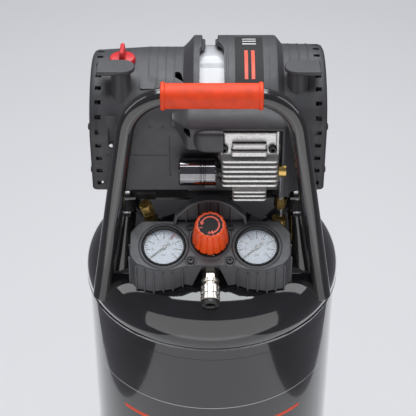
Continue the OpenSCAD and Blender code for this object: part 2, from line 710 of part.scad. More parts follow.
tank_shell();
top_dome();
bottom_dome();
seam_welds();
drain_valve();
drain_screw();
axle_bracket();
axle();
wheel_left();
wheel_right();
tyre_left();
tyre_right();
front_feet();
foot_pads();
handle_tube();
handle_grip();
pump_struts();
vibration_mounts();
mount_bolts();
pump_cradle();
check_valve();
check_poppet();
delivery_pipe();
pipe_nuts();
unloader_tube();
safety_valve();
safety_cap();
panel();
panel_screws();
gauge_cases();
gauge_dials();
gauge_lenses();
needle_left();
needle_right();
regulator_body();
regulator_knob();
coupler_body();
coupler_sleeve();
coupler_nose();
shroud_left();
shroud_right();
end_cap_left();
end_cap_right();
motor_frame();
stator();
rotor();
crankshaft();
bearings();
fan();
crankcase();
cylinder_barrel();
piston();
connecting_rod();
valve_plate();
cylinder_head();
head_screws();
intake_filter();
switch_knob();
pressure_switch();
cable_gland();
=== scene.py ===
"""Looks of the upright air compressor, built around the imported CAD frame.

Every shape below is drawn in millimetres in a local place (the tank's axis, the motor's axis,
the tilted panel or the coupler), and a place matrix carries it into the frame's metres.
"""

import json
import math

import bmesh
import bpy
from mathutils import Matrix, Vector


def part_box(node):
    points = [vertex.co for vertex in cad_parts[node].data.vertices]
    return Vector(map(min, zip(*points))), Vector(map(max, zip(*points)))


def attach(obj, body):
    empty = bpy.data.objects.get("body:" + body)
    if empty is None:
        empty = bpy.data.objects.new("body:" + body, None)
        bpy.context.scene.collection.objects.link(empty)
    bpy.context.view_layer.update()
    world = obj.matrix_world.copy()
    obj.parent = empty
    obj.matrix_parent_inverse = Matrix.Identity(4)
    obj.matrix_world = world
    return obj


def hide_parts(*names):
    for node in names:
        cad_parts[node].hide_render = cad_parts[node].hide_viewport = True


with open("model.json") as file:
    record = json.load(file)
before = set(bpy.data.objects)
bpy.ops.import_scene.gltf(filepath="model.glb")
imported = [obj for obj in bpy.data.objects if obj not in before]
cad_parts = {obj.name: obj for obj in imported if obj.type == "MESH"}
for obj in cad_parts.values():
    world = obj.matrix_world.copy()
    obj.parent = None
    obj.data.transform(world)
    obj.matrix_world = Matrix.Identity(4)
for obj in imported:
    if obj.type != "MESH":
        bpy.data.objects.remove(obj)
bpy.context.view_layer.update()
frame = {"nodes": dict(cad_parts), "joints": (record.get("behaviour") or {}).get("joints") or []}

MM = 0.001
TO_METRES = Matrix.Scale(MM, 4)
JOINTS = {joint["name"]: joint for joint in frame["joints"]}


# ---- Places, all taken from the frame ----
def middle(node):
    low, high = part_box(node)
    return (low + high) / 2


AXIS = Vector((0, middle("tank_shell").y, 0))
TANK = Matrix.Translation(AXIS) @ TO_METRES
MOTOR = Matrix.Translation((0, middle("stator").y, middle("stator").z)) @ TO_METRES


def mm_box(node, place=TANK):
    """Lowest and highest corner of a CAD node in a place's millimetres."""
    low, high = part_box(node)
    return place.inverted() @ low, place.inverted() @ high


def panel_place():
    """The panel's face: x to the side, y up the slope, z out of the face, midway between the gauges."""
    left = Vector(JOINTS["tank_gauge_needle"]["pos_m"])
    right = Vector(JOINTS["outlet_gauge_needle"]["pos_m"])
    out = -Vector(JOINTS["tank_gauge_needle"]["axis"]).normalized()
    across = (right - left).normalized()
    turn = Matrix((across, out.cross(across), out)).transposed().to_4x4()
    return Matrix.Translation((left + right) / 2) @ turn @ TO_METRES, (right - left).length / 2 / MM


PANEL, GAUGE_X = panel_place()
QUARTER_X = Matrix.Rotation(math.pi / 2, 4, "X")
ALONG_X = Matrix.Rotation(math.pi / 2, 4, "Y")
ALONG_Y = Matrix.Rotation(-math.pi / 2, 4, "X")
COUPLER_BACK = 16.2
COUPLER_DEPTH = -21
COUPLER = PANEL @ Matrix.Translation((0, -COUPLER_BACK, COUPLER_DEPTH)) @ QUARTER_X


def shift(x, y, z):
    return Matrix.Translation((x, y, z))


def spin(angle, axis="Z"):
    return Matrix.Rotation(angle, 4, axis)


# ---- Shapes: each is a list of points and a list of faces ----
def loft(rings, loop=False):
    """A closed skin through rings of the same number of points, with flat ends unless it loops."""
    count = len(rings[0])
    points = [tuple(p) for ring in rings for p in ring]
    faces = []
    for i in range(len(rings) if loop else len(rings) - 1):
        here = i * count
        there = (i + 1) % len(rings) * count
        for j in range(count):
            after = (j + 1) % count
            faces.append((here + j, here + after, there + after, there + j))
    if not loop:
        faces.append(tuple(range(count)))
        faces.append(tuple(range(len(points) - count, len(points))))
    return points, faces


def turned(outline, angle):
    """An outline of (radius, height) points, turned to an angle about the local Z axis."""
    return [(r * math.cos(angle), r * math.sin(angle), z) for r, z in outline]


def lathe(outline, steps=64):
    """Turns a closed outline of (radius, height) points about the local Z axis."""
    return loft([turned(outline, 2 * math.pi * i / steps) for i in range(steps)], loop=True)


def disc(radius, bottom, top, steps=96):
    return lathe([(0, bottom), (radius, bottom), (radius, top), (0, top)], steps)


def prism(outline, bottom, top):
    return loft([[(x, y, bottom) for x, y in outline], [(x, y, top) for x, y in outline]])


def block(x, y, z):
    return prism([(x[0], y[0]), (x[1], y[0]), (x[1], y[1]), (x[0], y[1])], z[0], z[1])


def arc(centre_x, centre_y, radius, start, end, steps):
    """Points on an arc, with the angles in degrees."""
    points = []
    for i in range(steps + 1):
        angle = math.radians(start + (end - start) * i / steps)
        points.append((centre_x + radius * math.cos(angle), centre_y + radius * math.sin(angle)))
    return points


def rounded(corners, radius, steps=5):
    """A closed outline with each corner eased by a curve that starts radius away from it."""
    points = []
    for i, corner in enumerate(corners):
        here = Vector(corner)
        before = Vector(corners[i - 1]) - here
        after = Vector(corners[(i + 1) % len(corners)]) - here
        start = here + before.normalized() * min(radius, before.length * 0.48)
        end = here + after.normalized() * min(radius, after.length * 0.48)
        for k in range(steps + 1):
            t = k / steps
            points.append(tuple(start * (1 - t) ** 2 + here * 2 * t * (1 - t) + end * t**2))
    return points


def sweep(path, radii, sides=32):
    """A round bar along a path of points, with a radius at each point."""
    rings = []
    side = None
    for i, point in enumerate(path):
        ahead = Vector(path[min(i + 1, len(path) - 1)]) - Vector(path[max(i - 1, 0)])
        ahead.normalize()
        guide = side if side else Vector((0, 1, 0))
        side = (guide - ahead * guide.dot(ahead)).normalized()
        other = ahead.cross(side)
        ring = []
        for k in range(sides):
            angle = 2 * math.pi * k / sides
            ring.append(Vector(point) + (side * math.cos(angle) + other * math.sin(angle)) * radii[i])
        rings.append(ring)
    return loft(rings)


def moved(shape, matrix):
    return [tuple(matrix @ Vector(p)) for p in shape[0]], shape[1]


def joined(shapes):
    points = []
    faces = []
    for shape in shapes:
        start = len(points)
        points.extend(shape[0])
        faces.extend(tuple(start + i for i in face) for face in shape[1])
    return points, faces


def hexagon(radius, bottom, top):
    return prism(arc(0, 0, radius, 0, 300, 5), bottom, top)


def fluted(outline, flutes, depth, steps=168, sharpness=3):
    """A lathe shape whose outer skin has hollow flutes, deepest on the wall and none on the axis."""
    widest = max(r for r, z in outline)
    rings = []
    for i in range(steps):
        angle = 2 * math.pi * i / steps
        hollow = depth * max(0.0, math.cos(flutes * angle)) ** sharpness
        ring = []
        for r, z in outline:
            radius = r - hollow * min(1.0, max(0.0, (r / widest - 0.5) * 3))
            ring.append((radius * math.cos(angle), radius * math.sin(angle), z))
        rings.append(ring)
    return loft(rings, loop=True)


# ---- Pieces ----
def solid(name, shape, place=TANK):
    """Makes the mesh object of a shape, with its points carried into the frame's metres."""
    mesh = bpy.data.meshes.new(name)
    mesh.from_pydata([tuple(place @ Vector(p)) for p in shape[0]], [], shape[1])
    made = bmesh.new()
    made.from_mesh(mesh)
    bmesh.ops.remove_doubles(made, verts=made.verts, dist=0.002 * MM)
    bmesh.ops.dissolve_degenerate(made, edges=made.edges, dist=0.001 * MM)
    bmesh.ops.recalc_face_normals(made, faces=made.faces)
    made.to_mesh(mesh)
    made.free()
    piece = bpy.data.objects.new(name, mesh)
    bpy.context.scene.collection.objects.link(piece)
    return piece


def cut(piece, shape, place=TANK):
    """Takes a shape away from a piece."""
    tool = solid("cutter", shape, place)
    modifier = piece.modifiers.new("cut", "BOOLEAN")
    modifier.object = tool
    modifier.operation = "DIFFERENCE"
    modifier.solver = "EXACT"
    graph = bpy.context.evaluated_depsgraph_get()
    mesh = bpy.data.meshes.new_from_object(piece.evaluated_get(graph))
    piece.modifiers.clear()
    piece.data = mesh
    bpy.data.objects.remove(tool)


def soften(piece, bevel, smooth):
    """Smooth shading with eased edges: a real bevel where one is asked for, and sharp edges elsewhere."""
    mesh = piece.data
    mesh.polygons.foreach_set("use_smooth", [True] * len(mesh.polygons))
    if bevel:
        modifier = piece.modifiers.new("eased_edges", "BEVEL")
        modifier.width = bevel * MM
        modifier.segments = 3
        modifier.limit_method = "ANGLE"
        modifier.angle_limit = math.radians(smooth)
        piece.modifiers.new("even_shading", "WEIGHTED_NORMAL")
    else:
        mesh.set_sharp_from_angle(angle=math.radians(smooth))


def dress(piece, material, slot, replaces=(), body="root", bevel=0.0, smooth=32):
    soften(piece, bevel, smooth)
    piece.data.materials.clear()
    piece.data.materials.append(material)
    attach(piece, body)
    if replaces:
        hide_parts(*replaces)
    return piece


def part(name, shape, place, material, slot, **how):
    return dress(solid(name, shape, place), material, slot, **how)


# ---- Materials ----
def principled(name, colour, roughness, metallic=0.0, coat=0.0, specular=0.5):
    material = bpy.data.materials.new(name)
    material.use_nodes = True
    tree = material.node_tree
    shader = tree.nodes["Principled BSDF"]
    shader.inputs["Base Color"].default_value = (*colour, 1)
    shader.inputs["Roughness"].default_value = roughness
    shader.inputs["Metallic"].default_value = metallic
    shader.inputs["Coat Weight"].default_value = coat
    shader.inputs["Coat Roughness"].default_value = 0.04
    shader.inputs["Specular IOR Level"].default_value = specular
    return material, tree, shader


def place_of(tree, stretch=(1, 1, 1)):
    """The object's own coordinates, in metres, stretched for a directed grain."""
    coordinates = tree.nodes.new("ShaderNodeTexCoord")
    mapping = tree.nodes.new("ShaderNodeMapping")
    mapping.inputs["Scale"].default_value = stretch
    tree.links.new(coordinates.outputs["Object"], mapping.inputs["Vector"])
    return mapping.outputs["Vector"]


def noise(tree, grain_mm, detail=3.0, stretch=(1, 1, 1)):
    texture = tree.nodes.new("ShaderNodeTexNoise")
    texture.inputs["Scale"].default_value = 1 / (grain_mm * MM)
    texture.inputs["Detail"].default_value = detail
    tree.links.new(place_of(tree, stretch), texture.inputs["Vector"])
    return texture.outputs["Fac"]


def ramp(tree, value, low, high):
    """Carries 0.3 to 0.7 of a noise to the range from low to high."""
    node = tree.nodes.new("ShaderNodeMapRange")
    node.inputs["From Min"].default_value = 0.3
    node.inputs["From Max"].default_value = 0.7
    node.inputs["To Min"].default_value = low
    node.inputs["To Max"].default_value = high
    tree.links.new(value, node.inputs["Value"])
    return node.outputs["Result"]


def bump(tree, shader, value, height_mm, strength=1.0, after=None):
    node = tree.nodes.new("ShaderNodeBump")
    node.inputs["Distance"].default_value = height_mm * MM
    node.inputs["Strength"].default_value = strength
    tree.links.new(value, node.inputs["Height"])
    if after:
        tree.links.new(after, node.inputs["Normal"])
    tree.links.new(node.outputs["Normal"], shader.inputs["Normal"])
    return node.outputs["Normal"]


def vary(tree, shader, value, dark, light):
    """Lets the base colour drift between two shades of itself."""
    mix = tree.nodes.new("ShaderNodeMix")
    mix.data_type = "RGBA"
    mix.inputs["A"].default_value = (*dark, 1)
    mix.inputs["B"].default_value = (*light, 1)
    tree.links.new(ramp(tree, value, 0, 1), mix.inputs["Factor"])
    tree.links.new(mix.outputs["Result"], shader.inputs["Base Color"])


def shades(colour, spread):
    return tuple(c * (1 - spread) for c in colour), tuple(min(1, c * (1 + spread)) for c in colour)


def gloss_paint(name, colour, roughness=0.07, peel=0.05):
    """Powder coat or enamel: a slight orange peel, with cloudy patches in its gloss."""
    material, tree, shader = principled(name, colour, roughness, coat=1.0)
    vary(tree, shader, noise(tree, 35), *shades(colour, 0.15))
    cloudy = ramp(tree, noise(tree, 60, 2), roughness * 0.8, roughness * 1.4)
    tree.links.new(cloudy, shader.inputs["Roughness"])
    bump(tree, shader, noise(tree, 4.5, 1.0), peel, 0.35)
    return material


def grained_plastic(name, colour, roughness=0.45, grain=0.55, height=0.05):
    """Moulded plastic with a fine spark-eroded grain and faint flow marks."""
    material, tree, shader = principled(name, colour, roughness)
    vary(tree, shader, noise(tree, 24), *shades(colour, 0.1))
    tree.links.new(ramp(tree, noise(tree, 9), roughness - 0.06, roughness + 0.07), shader.inputs["Roughness"])
    broad = bump(tree, shader, noise(tree, 14, 1.0), 0.08, 0.4)
    bump(tree, shader, noise(tree, grain, 2.0), height, 0.6, broad)
    return material


def rubber(name, colour, roughness=0.6):
    material, tree, shader = principled(name, colour, roughness, specular=0.35)
    vary(tree, shader, noise(tree, 12), *shades(colour, 0.12))
    bump(tree, shader, noise(tree, 0.8), 0.05, 0.6)
    return material


def bare_metal(name, colour, roughness, grain_mm=1.2, stretch=(1, 1, 1), height=0.02):
    """Machined, drawn or plated metal: grain along one direction, with tarnish in its gloss."""
    material, tree, shader = principled(name, colour, roughness, metallic=1.0)
    vary(tree, shader, noise(tree, 8, 4.0), *shades(colour, 0.12))
    grain = noise(tree, grain_mm, 4.0, stretch)
    tree.links.new(ramp(tree, grain, roughness * 0.7, roughness * 1.35), shader.inputs["Roughness"])
    bump(tree, shader, grain, height, 0.4)
    return material


def cast_metal(name, colour, roughness=0.42):
    """Die cast, blasted aluminium: a pitted skin with darker pores."""
    material, tree, shader = principled(name, colour, roughness, metallic=0.85)
    pores = noise(tree, 1.6, 5.0)
    vary(tree, shader, pores, tuple(c * 0.72 for c in colour), colour)
    tree.links.new(ramp(tree, pores, roughness + 0.14, roughness - 0.06), shader.inputs["Roughness"])
    bump(tree, shader, pores, 0.12, 0.5)
    return material


def print_ink(name, colour, roughness=0.35):
    material, tree, shader = principled(name, colour, roughness)
    vary(tree, shader, noise(tree, 3), *shades(colour, 0.06))
    bump(tree, shader, noise(tree, 0.5), 0.01, 0.3)
    return material


def lens_glass(name):
    """Thin flat glass that lets light straight through and reflects more at a slant."""
    material = bpy.data.materials.new(name)
    material.use_nodes = True
    tree = material.node_tree
    tree.nodes.remove(tree.nodes["Principled BSDF"])
    clear = tree.nodes.new("ShaderNodeBsdfTransparent")
    gloss = tree.nodes.new("ShaderNodeBsdfGlossy")
    gloss.inputs["Roughness"].default_value = 0.02
    facing = tree.nodes.new("ShaderNodeLayerWeight")
    steep = tree.nodes.new("ShaderNodeMath")
    steep.operation = "POWER"
    steep.inputs[1].default_value = 4
    slant = tree.nodes.new("ShaderNodeMath")
    slant.operation = "MULTIPLY_ADD"
    slant.inputs[1].default_value = 0.5
    slant.inputs[2].default_value = 0.015
    tree.links.new(facing.outputs["Facing"], steep.inputs[0])
    tree.links.new(steep.outputs[0], slant.inputs[0])
    both = tree.nodes.new("ShaderNodeMixShader")
    tree.links.new(slant.outputs[0], both.inputs["Fac"])
    tree.links.new(clear.outputs["BSDF"], both.inputs[1])
    tree.links.new(gloss.outputs["BSDF"], both.inputs[2])
    tree.links.new(both.outputs["Shader"], tree.nodes["Material Output"].inputs["Surface"])
    return material


BLACK_GLOSS = gloss_paint("black_powder_coat", (0.012, 0.012, 0.014))
TUBE_GLOSS = gloss_paint("black_tube_enamel", (0.014, 0.014, 0.015), 0.16, 0.03)
FILM = gloss_paint("label_film", (0.009, 0.009, 0.010), 0.13, 0.01)
SATIN_BLACK = gloss_paint("satin_black_paint", (0.020, 0.020, 0.021), 0.35, 0.03)
GREY_PAINT = gloss_paint("grey_casing_paint", (0.55, 0.56, 0.58), 0.38, 0.04)
SHROUD = grained_plastic("shroud_plastic", (0.052, 0.052, 0.057))
CAP_PLASTIC = grained_plastic("cap_plastic", (0.040, 0.040, 0.044))
PANEL_PLASTIC = grained_plastic("panel_plastic", (0.066, 0.068, 0.074), 0.4)
BLACK_PLASTIC = grained_plastic("black_plastic", (0.016, 0.016, 0.017), 0.32)
ORANGE_RUBBER = rubber("orange_grip_rubber", (0.80, 0.062, 0.012), 0.48)
ORANGE_PLASTIC = grained_plastic("orange_knob_plastic", (0.86, 0.085, 0.010), 0.3, 0.4, 0.02)
RED_PLASTIC = grained_plastic("red_switch_plastic", (0.60, 0.020, 0.022), 0.3, 0.4, 0.02)
BLACK_RUBBER = rubber("black_rubber", (0.014, 0.014, 0.014))
TYRE_RUBBER = rubber("tyre_rubber", (0.020, 0.020, 0.020), 0.7)
BRASS = bare_metal("machined_brass", (0.62, 0.42, 0.14), 0.28)
NICKEL = bare_metal("nickel_plate", (0.70, 0.66, 0.60), 0.2)
CHROME = bare_metal("chrome_plate", (0.24, 0.24, 0.25), 0.05, 6.0, height=0.004)
ZINC = bare_metal("zinc_plate", (0.66, 0.67, 0.70), 0.3)
BARE_STEEL = bare_metal("machined_steel", (0.50, 0.51, 0.53), 0.32, 0.8, (1, 0.1, 0.1))
OXIDE_STEEL = bare_metal("black_oxide_steel", (0.045, 0.045, 0.048), 0.4)
COPPER = bare_metal("lacquered_copper", (0.55, 0.22, 0.10), 0.3, 0.9, (0.1, 1, 1))
PIPE = bare_metal("drawn_aluminium", (0.60, 0.61, 0.62), 0.3, 1.0, (1, 1, 0.1))
CASTING = cast_metal("cast_aluminium", (0.78, 0.78, 0.77))
DIAL_WHITE = print_ink("dial_white", (0.62, 0.70, 0.78), 0.4)
DIAL_BLACK = print_ink("dial_black_ink", (0.02, 0.02, 0.025))
DIAL_RED = print_ink("dial_red_ink", (0.60, 0.02, 0.02))
ORANGE_INK = print_ink("orange_ink", (0.78, 0.060, 0.012))
LABEL_BLACK = print_ink("label_black", (0.013, 0.013, 0.014), 0.7)
PALE_INK = print_ink("pale_ink", (0.62, 0.62, 0.62))
NEEDLE_BLACK = gloss_paint("needle_black", (0.015, 0.015, 0.015), 0.3, 0.01)
LENS = lens_glass("clear_lens")

# CAD nodes whose shape is right keep it, and get their finish here.
KEPT_NODES = {
    "drain_valve": BRASS, "drain_screw": BRASS, "axle_bracket": BLACK_GLOSS, "axle": ZINC,
    "wheel_left": BLACK_PLASTIC, "wheel_right": BLACK_PLASTIC, "front_feet": BLACK_GLOSS,
    "foot_pads": BLACK_RUBBER, "pump_struts": TUBE_GLOSS, "mount_bolts": ZINC,
    "pump_cradle": SATIN_BLACK, "check_valve": BRASS, "check_poppet": BLACK_RUBBER,
    "delivery_pipe": PIPE, "pipe_nuts": BRASS, "unloader_tube": BLACK_PLASTIC,
    "needle_left": NEEDLE_BLACK, "needle_right": NEEDLE_BLACK, "gauge_lenses": LENS,
    "regulator_body": NICKEL, "motor_frame": GREY_PAINT, "stator": COPPER, "rotor": BARE_STEEL,
    "crankshaft": BARE_STEEL, "bearings": BARE_STEEL, "fan": BLACK_PLASTIC, "crankcase": CASTING,
    "cylinder_barrel": CASTING, "piston": CASTING, "connecting_rod": CASTING,
    "valve_plate": BARE_STEEL, "pressure_switch": BLACK_PLASTIC, "cable_gland": BLACK_RUBBER,
}


def finish_kept_nodes():
    for node, material in KEPT_NODES.items():
        piece = frame["nodes"][node]
        piece.data.materials.clear()
        piece.data.materials.append(material)


# ---- Tank ----
TANK_LOW, TANK_HIGH = mm_box("tank_shell")
DOME_LOW, DOME_HIGH = mm_box("top_dome")
SHELL_R = TANK_HIGH.x
END_R = DOME_HIGH.x
TANGENT_Z = TANK_HIGH.z
LOW_TANGENT_Z = TANK_LOW.z
SKIRT = TANGENT_Z - DOME_LOW.z
KNUCKLE_R = 49.5
SHEET = 2.2
WELD_H = 6
FINE = 256
FILM_SIDES = (-62, 63)
FILM_THICK = 0.15


def end_curve(grow=0.0):
    """Outline of a pressed end above its tangent line: the knuckle arc, then the crown arc to the axis."""
    depth = DOME_HIGH.z - TANGENT_Z
    centre = END_R - KNUCKLE_R
    crown = (centre**2 + depth**2 - KNUCKLE_R**2) / (2 * (depth - KNUCKLE_R))
    drop = crown - depth
    blend = math.degrees(math.atan2(drop, centre))
    knuckle = arc(centre, 0, KNUCKLE_R + grow, 0, blend, 24)
    return knuckle + arc(0, -drop, crown + grow, blend, 90, 40)[1:]


def end_shape():
    lip = [(END_R - SHEET, -SKIRT), (END_R - 0.8, -SKIRT), (END_R, -SKIRT + 0.8)]
    return lathe(lip + end_curve() + end_curve(-SHEET)[::-1], FINE)


def weld_bead(z, way):
    """A rippled fillet in the corner between the shell and the end's lip."""
    rings = []
    ripples = 360
    for i in range(ripples * 2):
        angle = math.pi * i / ripples
        swell = 0.35 * math.sin(angle * ripples / 2) ** 2
        outline = [(SHELL_R - 0.5, 0), (SHELL_R + 0.3, 0.6), (SHELL_R + 1.2 + swell, 3.4),
                   (END_R + 0.1 + swell * 0.5, WELD_H), (SHELL_R - 0.5, WELD_H)]
        rings.append(turned([(r, z + way * h) for r, h in outline], angle))
    return loft(rings, loop=True)


def upright(radius, thick, low, high):
    """Corners of a thin sheet that stands at a radius, from a low to a high edge."""
    return [(radius, low), (radius + thick, low), (radius + thick, high), (radius, high)]


def band_patch(radius, thick, sides, heights, steps=96):
    """A thin curved sheet on the shell's front, between two angles in degrees right of the front."""
    rings = []
    for i in range(steps + 1):
        angle = math.radians(sides[0] + (sides[1] - sides[0]) * i / steps - 90)
        rings.append(turned(upright(radius, thick, *heights), angle))
    return loft(rings)


def wrapped_stripe(outline, radius, thick):
    """A flat outline of (arc length, height) points wrapped on the shell, cut into narrow slats."""
    step = 1.5
    left = min(s for s, z in outline)
    right = max(s for s, z in outline)
    count = int((right - left) / step)
    rings = []
    for i in range(count + 1):
        s = left + 0.01 + (right - left - 0.02) * i / count
        crossings = []
        for (s0, z0), (s1, z1) in zip(outline, outline[1:] + outline[:1]):
            if (s0 - s) * (s1 - s) < 0:
                crossings.append(z0 + (z1 - z0) * (s - s0) / (s1 - s0))
        sheet = upright(radius, thick, min(crossings), max(crossings))
        rings.append(turned(sheet, s / radius - math.pi / 2))
    return loft(rings)


def make_tank():
    shell = [(SHELL_R, LOW_TANGENT_Z), (SHELL_R, TANGENT_Z - 2), (SHELL_R - SHEET, TANGENT_Z - 2),
             (SHELL_R - SHEET, LOW_TANGENT_Z)]
    part("tank_body", lathe(shell, FINE), TANK, BLACK_GLOSS, "black_gloss_paint", replaces=["tank_shell"])
    upper = TANK @ shift(0, 0, TANGENT_Z)
    part("tank_top_end", end_shape(), upper, BLACK_GLOSS, "black_gloss_paint",
         replaces=["top_dome"], smooth=50)
    lower = TANK @ shift(0, 0, LOW_TANGENT_Z) @ Matrix.Diagonal((1, 1, -1, 1))
    part("tank_bottom_end", end_shape(), lower, BLACK_GLOSS, "black_gloss_paint",
         replaces=["bottom_dome"], smooth=50)
    lip = SKIRT + WELD_H
    beads = joined([weld_bead(TANGENT_Z - lip, 1), weld_bead(LOW_TANGENT_Z + lip, -1)])
    part("seam_beads", beads, TANK, BLACK_GLOSS, "black_gloss_paint", replaces=["seam_welds"], smooth=60)
    film_top = TANGENT_Z - SKIRT - WELD_H - 14
    film_r = SHELL_R + 0.05
    film = band_patch(film_r, FILM_THICK, FILM_SIDES, (250, film_top))
    part("front_film", film, TANK, FILM, "black_gloss_paint")
    pinline = band_patch(film_r + FILM_THICK, 0.08, FILM_SIDES, (553.9, 554.6))
    part("film_pinline", pinline, TANK, GREY_PAINT, "grey_paint")
    stripes = []
    for top, high, half in ((520, 5, 126), (492, 26, 126)):
        corners = [(-half, top - high), (half, top - high), (half, top), (-half, top)]
        stripes.append(wrapped_stripe(rounded(corners, high * 0.48), film_r + FILM_THICK, 0.1))
    part("film_stripes", joined(stripes), TANK, ORANGE_INK, "orange_plastic")


# ---- Wheels ----
def make_tyres():
    """Tyres with a grooved tread, replacing the plain CAD rings."""
    for side in ("left", "right"):
        low, high = mm_box("tyre_" + side)
        centre = (low + high) / 2
        outer = (high.z - low.z) / 2
        half = (high.x - low.x) / 2
        inner = outer - 20
        rings = []
        lugs = 36
        steps = lugs * 6
        for i in range(steps):
            angle = 2 * math.pi * i / steps
            groove = 1.6 if i % 6 == 0 else 0.0
            outline = [(inner, -half + 3), (inner + 6, -half + 1), (outer - 9, -half), (outer - 4, -half + 1),
                       (outer - groove - 0.6, -half + 5), (outer - groove, -half + 8), (outer - groove, -5),
                       (outer - 2, -4), (outer - 2, -2.5), (outer, -1.5), (outer, 1.5), (outer - 2, 2.5),
                       (outer - 2, 4), (outer - groove, 5), (outer - groove, half - 8),
                       (outer - groove - 0.6, half - 5), (outer - 4, half - 1), (outer - 9, half),
                       (inner + 6, half - 1), (inner, half - 3)]
            rings.append(turned(outline, angle))
        place = TANK @ Matrix.Translation(centre) @ ALONG_X
        part(f"tread_{side}", loft(rings, loop=True), place, TYRE_RUBBER, "tyre_rubber",
             replaces=["tyre_" + side], body=side + "_wheel", smooth=40)


# ---- Handle ----
KNURLS = 36


def make_handle():
    """The bent tube with closed feet, and the knurled grip with a bead at each end."""
    grip_low, grip_high = mm_box("handle_grip")
    tube_low, tube_high = mm_box("handle_tube")
    centre = (grip_low + grip_high) / 2
    tube_r = (tube_high.y - tube_low.y) / 2
    straight, bend, splay = 45, 55, math.radians(9)
    right = []
    for i in range(25):
        angle = (math.pi / 2 - splay) * i / 24
        right.append(Vector((straight + bend * math.sin(angle), 0, -bend * (1 - math.cos(angle)))))
    down = Vector((math.sin(splay), 0, -math.cos(splay)))
    leg = 243
    knee = right[-1]
    right.extend([knee + down * leg * i / 12 for i in range(1, 13)])
    foot = right[-1]
    widths = [tube_r] * len(right)
    for i in range(1, 7):
        lean = math.pi / 2 * i / 6
        right.append(foot + down * tube_r * 0.35 * math.sin(lean))
        widths.append(tube_r * (0.55 + 0.45 * math.cos(lean)))
    left = [Vector((-p.x, 0, p.z)) for p in reversed(right)]
    place = TANK @ Matrix.Translation(centre)
    bar = sweep(left + right, widths[::-1] + widths, 40)
    part("handle_bar", bar, place, TUBE_GLOSS, "black_gloss_paint", replaces=["handle_tube"], smooth=50)

    length = (grip_high.x - grip_low.x) / 2
    flange = (grip_high.z - grip_low.z) / 2
    body = flange - 1.5
    rings = []
    around, along = 180, 150
    for i in range(along + 1):
        x = -length + 2 * length * i / along
        edge = length - abs(x)
        ring = []
        for k in range(around):
            angle = 2 * math.pi * k / around
            across = angle * KNURLS / 2
            slant = x * 1.2
            weave = abs(math.sin(across + slant)) * abs(math.sin(across - slant))
            radius = body - 0.35 + 0.45 * weave
            if edge < 5.5:
                radius = flange - 0.9 * max(0, abs(edge - 2.6) - 1.4) ** 2
            radius = max(radius, body - 0.4) if edge > 0.6 else min(radius, flange - 1.2)
            ring.append((x, radius * math.cos(angle), radius * math.sin(angle)))
        rings.append(ring)
    part("knurled_grip", loft(rings), place, ORANGE_RUBBER, "orange_rubber",
         replaces=["handle_grip"], smooth=60)


# ---- Shroud ----
LEFT_LOW = mm_box("shroud_left", MOTOR)[0]
RIGHT_END = min(mm_box("shroud_right", MOTOR)[1].x, 124)
FRONT_Y = LEFT_LOW.y
BASE_Z = LEFT_LOW.z
BEVEL_Y = 10
BEVEL_Z = 19
WALL = 3
DRUM_R = 88
CAP_R = {"left": 84.5, "right": 91.2}
INK_RADII = (102.2, 102.5)


def skin_line(radius, inset=0.0):
    """The drum's outline across its axis: flat front, chamfer, then the arc over to the back's lower edge."""
    front = FRONT_Y + inset
    turn_y = FRONT_Y + BEVEL_Y + inset
    turn_z = math.sqrt(radius**2 - turn_y**2)
    crease = turn_z - BEVEL_Z
    line = [(front, BASE_Z + (crease - BASE_Z) * i / 8) for i in range(9)]
    start = math.degrees(math.atan2(turn_z, turn_y))
    end = math.degrees(math.asin(BASE_Z / radius))
    return line + arc(0, 0, radius, start, end, 72)


def wall_loft(stations):
    """A drum wall through stations of (x, outer radius, inner radius)."""
    rings = []
    for x, outer, inner in stations:
        line = skin_line(outer) + skin_line(inner, WALL)[::-1]
        rings.append([(x, y, z) for y, z in line])
    return loft(rings)


def on_skin(radius, distance):
    """The point and direction after a distance up the drum's outline from its front lower edge."""
    line = skin_line(radius)
    for (y0, z0), (y1, z1) in zip(line, line[1:]):
        step = math.hypot(y1 - y0, z1 - z0)
        if distance <= step:
            share = distance / step
            return (y0 + (y1 - y0) * share, z0 + (z1 - z0) * share), math.atan2(z1 - z0, y1 - y0)
        distance -= step
    return line[-1], 0.0


def skin_rib(x, radius, start, end, wide=1.4, high=0.9):
    """A raised line round the drum, from one angle to another."""
    rings = []
    for y, z in arc(0, 0, 1, start, end, 20):
        ring = []
        for dx, r in ((-wide, radius - 1), (-wide * 0.4, radius + high),
                      (wide * 0.4, radius + high), (wide, radius - 1)):
            ring.append((x + dx, y * r, z * r))
        rings.append(ring)
    return loft(rings)


def drum_patch(sides, radii, start, end, steps):
    """A thin sheet on the drum between two places along its axis, from one angle to another."""
    rings = []
    for y, z in arc(0, 0, 1, start, end, steps):
        corners = ((sides[0], radii[0]), (sides[0], radii[1]), (sides[1], radii[1]), (sides[1], radii[0]))
        rings.append([(x, y * r, z * r) for x, r in corners])
    return loft(rings)


def rim_slots(x, radius, pitch=17.5):
    """Boxes that cut a row of small slots round the rim of an end cap."""
    slots = []
    distance = 10
    length = sum(math.dist(a, b) for a, b in zip(skin_line(radius), skin_line(radius)[1:]))
    while distance < length - 6:
        (y, z), lean = on_skin(radius, distance)
        slot = block((-3.6, 3.6), (-2.6, 2.6), (-4, 4))
        slots.append(moved(slot, shift(x, y, z) @ spin(lean, "X")))
        distance += pitch
    return slots


